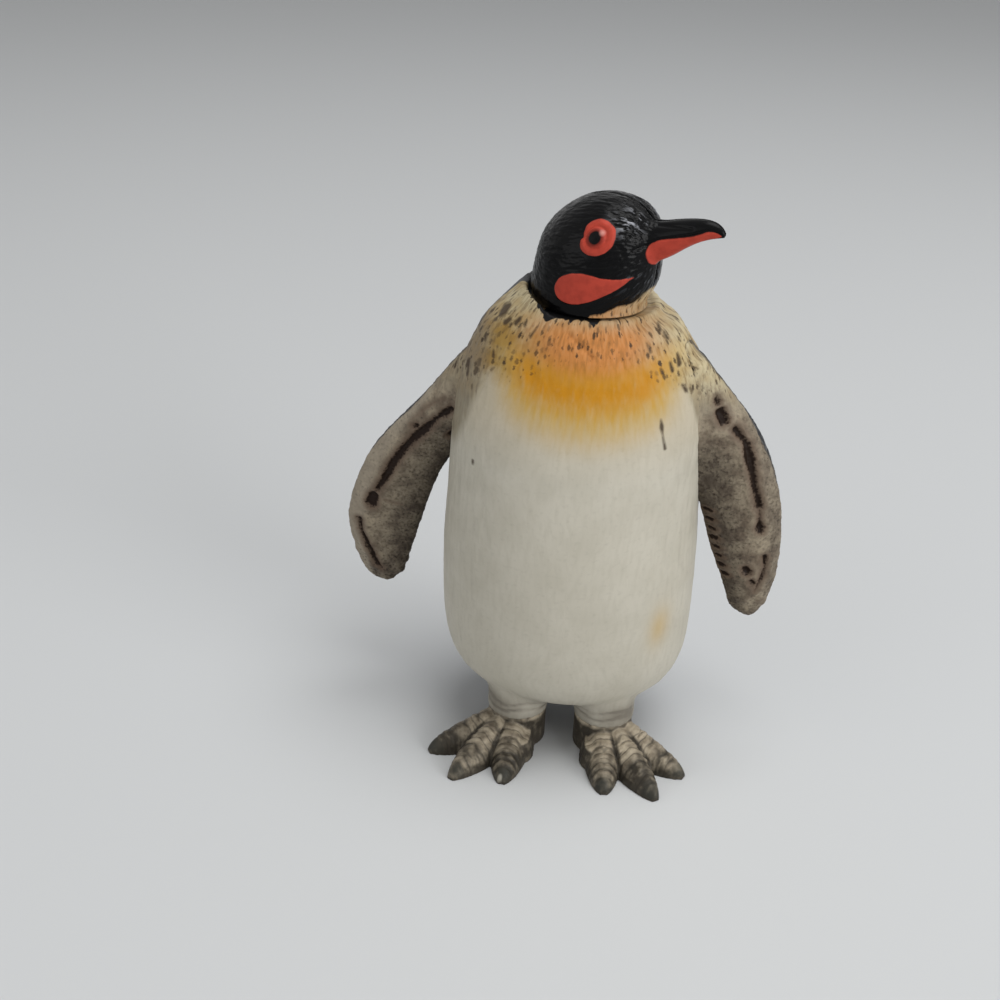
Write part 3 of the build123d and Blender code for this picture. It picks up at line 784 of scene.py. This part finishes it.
def foot_paint(colours):
    """Moulded PVC, grey-brown satin paint: dark wash between the toes, in their wrinkles and on the claws,
    and painted shade on the feet's low sides and over the right foot.
    """
    names = ("relief", "dusk", "fold", "claw", "chip")
    title = "moulded PVC, grey-brown feet with dark wash"
    material, tree, shader, painted = new_material(title, names, gloss=0.14)
    place = node(tree, "ShaderNodeTexCoord").outputs["Object"]
    blotch, grit = (
        node(tree, "ShaderNodeTexNoise", {"Vector": place, "Scale": 1 / (size * MM), "Detail": detail})
        for size, detail in ((FOOT_BLOTCH, 5.0), (LIMB_GRIT, 3.0))
    )
    rough = node(tree, "ShaderNodeMath", {0: blotch, 1: 1.1, 2: -0.55}, operation="MULTIPLY_ADD")
    dusk, fold, claw = (
        node(tree, "ShaderNodeMath", {0: painted[name], 1: rough}, operation="ADD")
        for name in ("dusk", "fold", "claw")
    )
    colour = brush_layers(tree, colours.foot, [
        (blotch, colours.foot_umber, 0.42, 0.64, 0.6),
        (painted["relief"], colours.foot_shade, 0.42, 0.1, 0.7),
        (fold, colours.foot_shade, 0.1, 0.95, 0.8),
        # Wash between the toes, and painted shade on the low sides and over the right foot
        (dusk, colours.foot_wash, 0.1, 0.95, 0.92),
        (claw, colours.claw, 0.1, 0.95, 0.9),
        (painted["chip"], colours.ivory),
    ])
    finish_paint(tree, shader, colour, blotch, (0.35, 0.6), grit, strength=0.5, depth=0.06)
    return material


SIZES = {
    "body_voxel": (0.31, "Grid of the body shells' skin, in millimetres"),
    "head_voxel": (0.12, "Grid of the head shells' skin, in millimetres"),
    "fine_voxel": (0.12, "Grid of the limbs' skin, in millimetres"),
    "stroke_width": (0.8, "Width of a plumage stroke on the body, in millimetres"),
    "stroke_length": (4.5, "Length of a plumage stroke on the body, in millimetres"),
    "stroke_depth": (0.2, "Depth of the plumage strokes on the body, in millimetres"),
    "head_turn": (math.radians(66), "Turn of the beak to the figure's left, in radians"),
}
SMALLEST_SIZE = 0.1


class PenguinSizes(bpy.types.PropertyGroup):
    __annotations__ = {
        name: bpy.props.FloatProperty(
            name=name.replace("_", " ").title(), description=about, default=size, min=SMALLEST_SIZE
        )
        for name, (size, about) in SIZES.items()
    }


PAINTS = {
    "ivory": ("#C0BBAD", "Belly paint"),
    "ivory_shade": ("#B3AE9F", "Mottling in the belly paint"),
    "ivory_wash": ("#8C867A", "Thin wash between the belly's strokes"),
    # Yellow wash of the shoulders; laid deeper on the figure's right, it is also painted shade
    "straw": ("#9A7A40", "Yellow wash of the shoulders"),
    "cream": ("#BDB08F", "Pale ground of the shoulders"),
    "umber": ("#6B5433", "Fine strokes on neck and shoulders"),
    "gold": ("#BE821A", "Core of the bib"),
    "amber": ("#BD9A4E", "Fading edge of the bib"),
    "peach": ("#C48145", "Throat"),
    # Grey on the lower legs, in their ankle creases and along the seams; on the shoulders it is painted shade
    "dust": ("#7D776C", "Grey wash on legs and seams"),
    "speckle": ("#3D2F22", "Dark dashes on neck and shoulders"),
    "charcoal": ("#2C2D2F", "Back"),
    "slate": ("#434547", "Paler areas of the back"),
    "dry_brush": ("#85878A", "Dry brush on the back"),
    "gloss_black": ("#060607", "Head"),
    # Grey on the head's raised feathers: dry brush, and painted sheen on the far crown and the throat
    "frost": ("#4A4D52", "Grey on the head's feathers"),
    # Pale paint on the forehead's feather crests: painted highlights
    "scuff": ("#A4A6AC", "Pale scuffs on the forehead"),
    "coral": ("#B64536", "Eye ring, ear patch and beak plate"),
    "coral_shade": ("#7E2C24", "Darker coral and the ring round the pupil"),
    "glint": ("#CF9086", "Painted light in the eye"),
    "limb": ("#9B8F7B", "Flippers"),
    "limb_umber": ("#665649", "Brown patches on the flippers"),
    "limb_shade": ("#433B33", "Darker areas of the flippers"),
    "limb_pale": ("#9A9080", "Leading edge of the flippers"),
    "limb_wash": ("#1F130B", "Wash in the flippers' grooves"),
    "foot": ("#B2A691", "Feet"),
    "foot_umber": ("#706353", "Brown patches on the feet"),
    "foot_shade": ("#504B42", "Toe wrinkles"),
    # Wash between the toes and at their ends; on the feet's low sides and over the right foot it is painted
    # shade
    "foot_wash": ("#2A2620", "Wash between the toes"),
    "claw": ("#33342F", "Claws"),
    "floor": ("#CFD1D2", "Floor"),
}


class PenguinColours(bpy.types.PropertyGroup):
    __annotations__ = {
        name: bpy.props.FloatVectorProperty(
            name=name.replace("_", " ").title(), description=about, default=linear(hex_colour), size=4,
            subtype="COLOR", min=0.0, max=1.0,
        )
        for name, (hex_colour, about) in PAINTS.items()
    }


def settings(context):
    """The sizes and colours that may be changed before the pieces are made."""
    return context.scene.penguin_sizes, context.scene.penguin_colours


def body_skin(node_name, sizes, facing):
    """A body shell's skin, its flat map from the front or the back, and how much stroke it takes where."""
    skin = Skin(node_name, sizes.body_voxel, SHELL_SOFTENING)
    z = skin.points[:, 2]
    skin.relax(band(z, *LEG_BLEND), LEG_BLEND_ROUNDS)
    x, y, z = skin.points.T
    lean = NECK_LEAN * bell(z, NECK_LEAN_HEIGHT, NECK_LEAN_SPAN) * smoothstep(*NECK_WALL, np.hypot(x, y))
    skin.move(np.stack([x - lean, y, z], 1))
    x, y, z = skin.points.T
    radius = np.hypot(x, y).clip(1)
    outside = smoothstep(-0.1, 0.3, (skin.normals[:, 0] * x + skin.normals[:, 1] * y) / radius)
    past_collar = smoothstep(*COLLAR_OUTSIDE, radius + FAR_OFF * (z < COLLAR - COLLAR_DEPTH))
    plumage = outside * smoothstep(0.1, 0.5, np.abs(y)) * past_collar
    return skin, flat_map(skin.points * (1, facing, 1)), plumage


def flat_map(points):
    """Flat map of the body in millimetres: round it from its front, and down it, drawn out near the neck."""
    x, y, z = points.T
    shoulder = np.sign(x) * np.clip(np.hypot(x, y) - MAP_SHOULDER, 0, None)
    drawn_out = MAP_NECK_STRETCH * np.clip(z - MAP_NECK, 0, None)
    return np.stack([MAP_RADIUS * np.arctan2(x, -y) + shoulder, z + drawn_out, 0 * z], 1)


def yoke_amounts(points):
    """How much straw, deeper toward the figure's right as painted shade; how finely and how boldly dashed the
    neck and shoulders are; and where painted shade greys them.
    """
    x, _, z = points.T
    side = np.abs(x - YOKE_MIDDLE)
    above = z - YOKE_LOW + YOKE_DROP * smoothstep(*YOKE_SHOULDER, side)
    # Painted shade: grey on the lower shoulders beside the flippers, and on the figure's right shoulder
    low_sides = 0.7 * smoothstep(*ASHEN_TOP, z) * smoothstep(*ASHEN_SIDE, side)
    return {
        # Straw ground, deeper and darker toward the figure's right: that part is painted shade
        "straw_and_shade": 0.2 + 0.6 * smoothstep(*STRAW_SHADE_SIDE, x) * band(z, *WARM_BAND),
        "speckle": smoothstep(-0.8, 1.8, above) * smoothstep(*SPECKLE_LOW, z),
        "bold": smoothstep(*BOLD_SIDE, side) * smoothstep(-1.0, 1.0, above),
        "shoulder_shade": np.maximum(low_sides, 0.6 * smoothstep(*ASHEN_RIGHT, x)),
    }


def collar_drop(points):
    """How far each point lies below or outside the top of the neck, which isn't level."""
    x, y, z = points.T
    radius = np.hypot(x, y)
    turn = np.round(np.degrees(np.arctan2(y, x)) * COLLAR_SECTORS / 360).astype(int) % COLLAR_SECTORS
    top = np.full(COLLAR_SECTORS, COLLAR - COLLAR_UNEVEN)
    rim = (radius > COLLAR_RIM[0]) & (radius < COLLAR_RIM[1])
    np.maximum.at(top, turn[rim], z[rim])
    return np.clip(radius - COLLAR_EDGE, 0, None) + np.clip(top[turn] - z, 0, None)


def beak_side(points, head_turn):
    """Angle of each point round the neck, and how near the beak's side it is, from -1 to 1."""
    angle = np.arctan2(points[:, 1], points[:, 0])
    return angle, np.cos(angle - (head_turn - math.pi / 2))


class PENGUIN_OT_front_shell(bpy.types.Operator):
    """Sculpt and paint the body's front shell"""
    bl_idname = "penguin.front_shell"
    bl_label = "Front Shell"

    def execute(self, context):
        sizes, colours = settings(context)
        skin, flow, plumage = body_skin("body_front_shell", sizes, 1)
        x, y, z = skin.points.T
        angle, beside_beak = beak_side(skin.points, sizes.head_turn)
        across = np.abs(x - BIB_MIDDLE) / BIB_HALF_WIDTH
        above = z - BIB_LOW - BIB_LOW_RISE * across ** 2
        below = BIB_TOP + BIB_TOP_RISE * across ** 2 - z
        amber = smoothstep(*AMBER_LOW, above) * smoothstep(*AMBER_TOP, below) * smoothstep(1.2, 0.75, across)
        gold = smoothstep(*GOLD_LOW, above) * smoothstep(*GOLD_TOP, below) * smoothstep(1.05, 0.6, across)
        peach = band(z, *THROAT) * smoothstep(0.95, 0.3, across)
        white_edge = WHITE_TOP - WHITE_DROP * smoothstep(*WHITE_SHOULDER, np.abs(x - WHITE_MIDDLE))
        soft = WHITE_SOFT + WHITE_SOFTER * smoothstep(*WHITE_SOFTER_SIDE, x)
        yoke = smoothstep(-soft, soft, z - white_edge)
        flank = np.maximum(smoothstep(*FLANK_SIDE, np.abs(x)), smoothstep(*FLANK_LOW, z))
        crease = np.max([
            deep * bell(z, height + wave * np.sin(pace * x), width)
            for height, wave, pace, width, deep in LEG_CREASES
        ], axis=0)
        flat = np.stack([x, z], 1)
        fold = smoothstep(0.3, 0.0, nearest_path(flat, NECK_FOLDS)) * (y < 0)
        skin.push(-CREASE_DEPTH * crease * (z > LEG_CUT) - FOLD_DEPTH * fold)
        spikes = CHEEK_SPIKE * bell(angle, CHEEK_ANGLE, CHEEK_SPAN)
        spikes += SPIKE_LENGTH * ragged(angle) * smoothstep(0.8, 0.55, beside_beak)
        amounts = yoke_amounts(skin.points)
        for name in ("speckle", "bold"):
            amounts[name] *= smoothstep(0.25, 0.8, yoke)
        stain = 0.5 * bell(x, BELLY_STAIN[0], BELLY_STAIN_SPAN[0])
        stain *= bell(z, BELLY_STAIN[1], BELLY_STAIN_SPAN[1])
        skin.paint(
            flow=flow, plumage=plumage * (0.12 + 0.5 * flank + 0.55 * yoke + 0.3 * amber), flank=flank,
            # The legs grey toward the bottom and in their ankle creases
            gold=gold, amber=amber, peach=peach, yoke=yoke, cuff=smoothstep(*CUFF, z) + 0.8 * crease,
            seam=0.5 * smoothstep(*SEAM_EDGE, y) * smoothstep(*SEAM_LOW, z),
            marks=np.where(y < 0, nearest_path(flat, (SCRATCH, *NECK_DABS)), FAR_OFF),
            black=spikes - collar_drop(skin.points), stain=stain + 0.18 * smoothstep(*CREAM_CHEST, z),
            **amounts,
        )
        strokes = (sizes.stroke_width, sizes.stroke_length, sizes.stroke_depth, BODY_SEED)
        skin.carve(*strokes, front_paint(colours))
        skin.hand_over("body", "ivory_front")
        return {"FINISHED"}


class PENGUIN_OT_back_shell(bpy.types.Operator):
    """Sculpt and paint the body's back shell with its tail"""
    bl_idname = "penguin.back_shell"
    bl_label = "Back Shell"

    def execute(self, context):
        sizes, colours = settings(context)
        skin, flow, plumage = body_skin("body_back_shell", sizes, -1)
        x, y, z = skin.points.T
        angle, beside_beak = beak_side(skin.points, sizes.head_turn)
        nape = NAPE_LENGTH + NAPE_SPIKE * ragged(angle)
        nape *= smoothstep(0.5, -0.2, beside_beak) * smoothstep(0.5, 3.5, y)
        wrap = WRAP + WRAP_LEFT * smoothstep(*WRAP_LEFT_SIDE, x)
        wrap += WRAP_NECK * smoothstep(*WRAP_NECK_LOW, z) * smoothstep(*WRAP_NECK_SIDE, x)
        skin.paint(
            flow=flow, place=flat_map(skin.points), plumage=plumage, black=nape - collar_drop(skin.points),
            yoke=smoothstep(*WRAP_SOFT, y - wrap) * smoothstep(*WRAP_LOW, z), **yoke_amounts(skin.points),
        )
        strokes = (sizes.stroke_width, sizes.stroke_length, sizes.stroke_depth, BODY_SEED)
        skin.carve(*strokes, back_paint(colours))
        skin.hand_over("body", "charcoal_back")
        return {"FINISHED"}


class PENGUIN_OT_head(bpy.types.Operator):
    """Sculpt and paint the two head shells"""
    bl_idname = "penguin.head"
    bl_label = "Head Shells"

    def execute(self, context):
        sizes, colours = settings(context)
        paint = head_paint(colours)
        forward = np.array([math.sin(sizes.head_turn), -math.cos(sizes.head_turn), 0])
        leftward = np.array([math.cos(sizes.head_turn), math.sin(sizes.head_turn), 0])
        own_axes = np.stack([forward, leftward, (0, 0, 1)], 1)
        pole_ahead, _, pole_up = FEATHER_POLE
        for node_name in ("head_left_shell", "head_right_shell"):
            skin = Skin(node_name, sizes.head_voxel, SHELL_SOFTENING)
            ahead, left, rise = (skin.points @ own_axes - (0, 0, HEAD_BASE)).T
            skin.relax(bell(ahead, BEAK_ROOT, BEAK_ROOT_SPAN) * smoothstep(3.0, 4.5, rise), BEAK_ROOT_ROUNDS)
            places = skin.points @ own_axes - (0, 0, HEAD_BASE)
            normals = skin.normals @ own_axes
            ahead, left, rise = places.T
            aside = np.abs(left)
            flat = np.stack([ahead, rise], 1)
            cheek = smoothstep(0.3, 1.2, aside) * smoothstep(0.15, 0.4, np.sign(left) * normals[:, 1])
            eye, ear, plate = (outline_depth(flat, o) for o in (EYE_OUTLINE, EAR_OUTLINE, PLATE_OUTLINE))
            ball, pupil, glint = (
                np.linalg.norm(flat - middle, axis=1) - radius
                for middle, radius in (
                    (EYEBALL, EYEBALL_RADIUS), (PUPIL, PUPIL_RADIUS), (GLINT, GLINT_RADIUS),
                )
            )
            lift = EYE_RING_HEIGHT * smoothstep(0.1, -0.35, eye)
            lift += EYEBALL_BULGE * np.sqrt(np.clip(-ball, 0, None))
            lift -= EYEBALL_GROOVE * bell(ball, 0.05, GROOVE_WIDTH)
            lift += EAR_HEIGHT * smoothstep(0.12, -0.12, ear)
            lift += PLATE_HEIGHT * smoothstep(0.1, -0.1, plate)
            lift -= MOUTH_DEPTH * bell(path_gap(flat, MOUTH_LINE), 0.0, GROOVE_WIDTH)
            lift -= NOSTRIL_DEPTH * bell(path_gap(flat, NOSTRIL_LINE), 0.0, GROOVE_WIDTH)
            skin.push(lift * cheek - SEAM_DEPTH * bell(left, 0.0, 0.15) * smoothstep(8.0, 10.0, rise))
            coral = np.minimum(np.minimum(eye, ear), plate)
            outward = places - HEAD_MIDDLE
            facing = (outward * normals).sum(1)
            outward /= np.linalg.norm(outward, axis=1)[:, None]
            polar = np.arccos(np.clip(outward @ FEATHER_POLE, -1, 1))
            turn = np.arctan2(outward[:, 1], outward[:, 2] * pole_ahead - outward[:, 0] * pole_up)
            spread = FEATHER_RADIUS * (0.45 + 0.55 * np.sin(polar))
            flow = np.stack([spread * np.cos(turn), FEATHER_RADIUS * polar, spread * np.sin(turn)], 1)
            plumage = smoothstep(0.0, 0.5, coral) * smoothstep(0.3, 1.0, rise) * smoothstep(9.5, 7.5, ahead)
            plumage *= smoothstep(0.05, 0.35, aside) * smoothstep(0.0, 0.3, facing)
            plumage *= 1 + 1.2 * bell(ahead, 5.5, 1.7) * smoothstep(9.3, 11.0, rise)
            # Grey on the raised feathers: dry brush, more of it toward the back of the head; on the far crown
            # and the throat it is painted sheen
            far_crown = band(left, 0.1, 0.4, 2.0, 4.0) * smoothstep(9.5, 11.5, rise)
            frost = 0.03 + 0.06 * smoothstep(1.0, -6.0, ahead) + 1.6 * far_crown * bell(ahead, 4.0, 3.0)
            frost += 1.3 * bell(ahead, THROAT_SHEEN[0], 1.4) * bell(rise, THROAT_SHEEN[1], 1.8)
            # Painted highlights on the forehead's feather crests, at the sides of the head
            scuff = 0.95 * bell(ahead, FOREHEAD_HIGHLIGHT[0], 1.4) * bell(rise, FOREHEAD_HIGHLIGHT[1], 1.1)
            scuff *= smoothstep(1.2, 2.0, aside)
            skin.paint(
                flow=flow, plumage=plumage, coral=np.where(cheek > 0.02, coral, 1.0), pupil=pupil,
                ring=np.abs(pupil - PUPIL_RING) - PUPIL_RING_HALF_WIDTH, glint=glint, frost=frost,
                scuff=scuff,
                throat=rise - np.interp(ahead, *np.array(CHIN_EDGE).T, left=-1.0),
                warmth=0.65 * smoothstep(9.5, 4.0, ahead), place=flat_map(skin.points),
                **yoke_amounts(skin.points),
            )
            skin.carve(*HEAD_STROKE, paint)
            skin.hand_over("head", "black_head")
        return {"FINISHED"}


def draw_over_flank(skin, shifts, crest):
    """Draw a flipper's root forward over the flank, in a hollow fillet that ends along the body's side."""
    body = bpy.data.objects["painted_body_front_shell"].data
    corners = np.empty(len(body.vertices) * 3)
    body.vertices.foreach_get("co", corners)
    corners = (corners.reshape(-1, 3) - (NECK.x, NECK.y, 0)) / MM
    x, y, z = skin.points.T
    side = np.sign(x.mean())
    levels = np.arange(ARMPIT - 10, COLLAR - 2)
    near = [corners[np.abs(corners[:, 2] - level) < 0.6] for level in levels]
    half_width = [(side * group[:, 0]).max() for group in near]
    reach = [-group[:, 1].min() for group in near]
    wide = np.interp(z, levels, half_width)
    deep = np.interp(z, levels, reach)
    ring = np.hypot(x / wide, y / deep)
    turn = np.arctan2(y / deep, x / wide)
    close = 1 - np.clip((ring - 1) * wide / ROOT_FILLET, 0, 1)
    hold = 1 - np.sqrt(1 - close ** 2)
    shift = np.interp(z, *np.array(shifts).T) * hold * smoothstep(1.5, -1.0, y)
    turn -= side * shift / wide
    away = (ring - 1) * wide - ROOT_SINK * close
    z = z + crest * hold * smoothstep(0.1, 0.7, skin.normals[:, 2])
    wide = np.interp(z, levels, half_width)
    deep = np.interp(z, levels, reach)
    ring = 1 + away / wide
    skin.move(np.stack([ring * wide * np.cos(turn), ring * deep * np.sin(turn), z], 1))


class PENGUIN_OT_flippers(bpy.types.Operator):
    """Sculpt and paint the two flippers"""
    bl_idname = "penguin.flippers"
    bl_label = "Flippers"

    def execute(self, context):
        sizes, colours = settings(context)
        paint = flipper_paint(colours)
        for node_name, mark_paths, shifts, crest, scallops, pale, rim_dusk, dusk_reach in (
            ("left_flipper", LEFT_MARKS, LEFT_ROOT_SHIFT, LEFT_CREST, SCALLOP_COUNT, 0.1, 0.5, LEFT_DUSK),
            ("right_flipper", RIGHT_MARKS, RIGHT_ROOT_SHIFT, RIGHT_CREST, 0, 0.75, 0.0, RIGHT_DUSK),
        ):
            skin = Skin(node_name, sizes.fine_voxel, LIMB_SOFTENING)
            x, _, z = skin.points.T
            levels = np.arange(z.min() + 1, z.max() - 1)
            rows = [np.abs(x[np.abs(z - level) < 1]).clip(ARMPIT_REACH) for level in levels]
            inner = np.interp(z, levels, [row.min() for row in rows])
            outer = np.interp(z, levels, [row.max() for row in rows])
            share = (np.abs(x) - inner) / (outer - inner).clip(1.0)
            draw_over_flank(skin, shifts, crest)
            x, _, z = skin.points.T
            flat = np.stack([x, z], 1)
            front = smoothstep(0.1, 0.5, -skin.normals[:, 1])
            wash = nearest_path(flat, mark_paths)
            lift = MARK_LIP * bell(wash, 0.7, 0.4) - MARK_DEPTH * smoothstep(0.3, -0.4, wash)
            for k in range(scallops):
                height = SCALLOP_TOP - k * SCALLOP_PITCH
                away = np.hypot(0.8 * (np.abs(x) - inner - SCALLOP_INSET), 1.6 * (z - height))
                lift -= SCALLOP_DEPTH * bell(away, 0, 0.6)
                wash = np.minimum(wash, away - SCALLOP_HALF_WIDTH)
            uneven = np.sin(2.3 * x + 1.1 * z) + np.sin(1.7 * z - 1.3 * x + 2) + np.sin(3.1 * z + 0.6 * x + 4)
            skin.push(lift * front + uneven * (0.015 + 0.05 * smoothstep(*TIP_ROUGH, z)))
            dusk = np.max([
                smoothstep(*dusk_reach, share) * smoothstep(*DUSK_TOP, z),
                0.8 * smoothstep(*TIP_DUSK, z),
                rim_dusk * smoothstep(*RIM_DUSK, share) * smoothstep(*RIM_DUSK_LOW, z),
            ], axis=0)
            dark_edge = smoothstep(*DARK_EDGE, share) * smoothstep(*DARK_EDGE_LOW, z)
            dark_edge *= 0.25 + 0.85 * bell(z, DARK_EDGE_HEIGHT, 4.0)
            skin.paint(
                flow=skin.points[:, (0, 2, 1)], place=flat_map(skin.points), plumage=np.ones(len(x)),
                wash=np.where(front > 0.05, wash, FAR_OFF), pale=pale * front * smoothstep(*PALE_EDGE, share),
                dusk=dusk * front, dorsal=smoothstep(-0.25, 0.1, skin.normals[:, 1] + dark_edge),
                root=smoothstep(*ROOT_PAINT, z), **yoke_amounts(skin.points),
            )
            skin.carve(*FLIPPER_STROKE, paint)
            skin.hand_over("body", "grey_brown_limbs")
        return {"FINISHED"}


class PENGUIN_OT_feet(bpy.types.Operator):
    """Sculpt and paint the two feet"""
    bl_idname = "penguin.feet"
    bl_label = "Feet"

    def execute(self, context):
        sizes, colours = settings(context)
        paint = foot_paint(colours)
        # Each foot: its side, the darkness of its three toe ends, and painted shade over the whole foot
        for node_name, side, toe_wash, right_foot_shade in (
            ("left_foot", 1, LEFT_TOE_WASH, 0.0), ("right_foot", -1, RIGHT_TOE_WASH, 0.3),
        ):
            skin = Skin(node_name, sizes.fine_voxel, LIMB_SOFTENING)
            z = skin.points[:, 2]
            skin.relax(band(z, *FOOT_BLEND), FOOT_BLEND_ROUNDS)
            places = skin.points[:, :2] * (side, 1) - LEFT_LEG
            z = skin.points[:, 2]
            asides, travels, shares = [], [], []
            for tip in TOE_TIPS:
                run = np.array(tip) - LEFT_LEG
                length = np.linalg.norm(run)
                travel = places @ run / length
                travels.append(travel)
                shares.append(travel / length)
                asides.append(np.abs(places @ (-run[1], run[0]) / length) + 5 * smoothstep(2, -2, travel))
            toe = np.argmin(asides, axis=0)
            every = np.arange(len(z))
            along = np.array(travels)[toe, every]
            share = np.array(shares)[toe, every]
            nearest, second = np.sort(asides, axis=0)[:2]
            upward = smoothstep(-0.1, 0.4, skin.normals[:, 2])
            wobble = np.sin(1.9 * nearest + 2.6 * toe) + 1.9 * np.sin(1.3 * along + 1.7 * toe)
            wrinkle = np.sin(along * 2 * math.pi / TOE_WRINKLE_PITCH + wobble)
            toes = band(share, *TOES)
            lift = TOE_WRINKLE_DEPTH * wrinkle * toes - CLAW_LINE_DEPTH * bell(share, CLAW_LINE, 0.015)
            skin.push(lift * upward)
            valley = smoothstep(1.3, 0.3, second - nearest) * smoothstep(0.3, 0.45, share)
            ends = (np.array(toe_wash)[toe] - 0.12 * wrinkle) * smoothstep(*TOE_ENDS, share)
            # Painted shade on the feet's steep sides near the floor
            low_side_shade = smoothstep(0.9, 0.1, skin.normals[:, 2]) * smoothstep(5.5, 4.5, z)
            chip = smoothstep(*CHIP_EDGE, np.linalg.norm(places - RIGHT_CHIP, axis=1)) * upward * (side < 0)
            skin.paint(
                flow=np.stack([along, nearest, 0.3 * z], 1), plumage=upward * smoothstep(0.95, 0.8, share),
                # Dark wash between the toes and at their ends, with painted shade on the low sides and over
                # the right foot
                dusk=np.max([valley, ends, low_side_shade, np.full(len(z), right_foot_shade)], axis=0),
                fold=0.75 * toes * smoothstep(-0.6, -1.0, wrinkle),
                claw=0.75 * smoothstep(*CLAW, share) * upward, chip=0.6 * chip,
            )
            skin.carve(*FOOT_STROKE, paint)
            skin.hand_over("body", "grey_brown_limbs")
        return {"FINISHED"}


class PENGUIN_OT_stage(bpy.types.Operator):
    """Lay the floor and place the lamps, the world and the camera"""
    bl_idname = "penguin.stage"
    bl_label = "Stage"

    def execute(self, context):
        _, colours = settings(context)
        scene = context.scene
        scene.view_settings.view_transform = "Standard"
        mesh = bpy.data.meshes.new("floor")
        corners = [(across * FLOOR_REACH, back * FLOOR_REACH, 0) for across, back in FLOOR_CORNERS]
        mesh.from_pydata(corners, [], [(0, 1, 2, 3)])
        floor = bpy.data.objects.new("floor", mesh)
        scene.collection.objects.link(floor)
        material = bpy.data.materials.new("matt pale studio floor")
        material.use_nodes = True
        shader = material.node_tree.nodes["Principled BSDF"]
        shader.inputs["Base Color"].default_value = colours.floor
        shader.inputs["Roughness"].default_value = FLOOR_ROUGHNESS
        mesh.materials.append(material)

        world = bpy.data.worlds.new("soft studio")
        scene.world = world
        world.use_nodes = True
        tree = world.node_tree
        tree.nodes.clear()
        ray = node(tree, "ShaderNodeLightPath").outputs
        seen = node(
            tree, "ShaderNodeMath", {0: ray["Is Camera Ray"], 1: ray["Is Glossy Ray"]}, operation="MAXIMUM"
        )
        strength = node(
            tree, "ShaderNodeMapRange", {"Value": seen, "To Min": WORLD_LIGHT, "To Max": WORLD_SEEN}
        )
        sky = node(tree, "ShaderNodeBackground", {"Color": (1, 1, 1, 1), "Strength": strength})
        node(tree, "ShaderNodeOutputWorld", {"Surface": sky})

        for name, place, size, power in LAMPS:
            lamp = bpy.data.lights.new(name, "AREA")
            lamp.shape = "DISK"
            lamp.size = size
            lamp.energy = power
            holder = bpy.data.objects.new(name, lamp)
            holder.location = place
            holder.rotation_euler = (LAMP_AIM - Vector(place)).to_track_quat("-Z", "Y").to_euler()
            scene.collection.objects.link(holder)

        lens = bpy.data.cameras.new("photograph's view")
        lens.sensor_width = SENSOR_WIDTH
        lens.lens = CAMERA_LENS
        lens.clip_start = CAMERA_NEAREST
        camera = bpy.data.objects.new("photograph's view", lens)
        turn = Matrix.Rotation(CAMERA_YAW, 4, "Z") @ Matrix.Rotation(math.pi / 2 - CAMERA_PITCH, 4, "X")
        turn = turn @ Matrix.Rotation(CAMERA_ROLL, 4, "Z")
        camera.matrix_world = Matrix.Translation(CAMERA_PLACE) @ turn
        scene.collection.objects.link(camera)
        scene.camera = camera
        return {"FINISHED"}


PIECE_OPERATORS = (
    PENGUIN_OT_front_shell,
    PENGUIN_OT_back_shell,
    PENGUIN_OT_head,
    PENGUIN_OT_flippers,
    PENGUIN_OT_feet,
    PENGUIN_OT_stage,
)


class PENGUIN_PT_panel(bpy.types.Panel):
    """Steps that dress the penguin"""
    bl_idname = "PENGUIN_PT_panel"
    bl_label = "Penguin Figurine"
    bl_space_type = "VIEW_3D"
    bl_region_type = "UI"
    bl_category = "Penguin"

    def draw(self, context):
        for operator in PIECE_OPERATORS:
            self.layout.operator(operator.bl_idname)


CLASSES = (PenguinSizes, PenguinColours, *PIECE_OPERATORS, PENGUIN_PT_panel)


def register():
    for each in CLASSES:
        bpy.utils.register_class(each)
    bpy.types.Scene.penguin_sizes = bpy.props.PointerProperty(type=PenguinSizes)
    bpy.types.Scene.penguin_colours = bpy.props.PointerProperty(type=PenguinColours)


def unregister():
    del bpy.types.Scene.penguin_colours
    del bpy.types.Scene.penguin_sizes
    for each in reversed(CLASSES):
        bpy.utils.unregister_class(each)


def main():
    register()
    bpy.ops.penguin.front_shell()
    bpy.ops.penguin.back_shell()
    bpy.ops.penguin.head()
    bpy.ops.penguin.flippers()
    bpy.ops.penguin.feet()
    bpy.ops.penguin.stage()


if __name__ == "__main__":
    main()
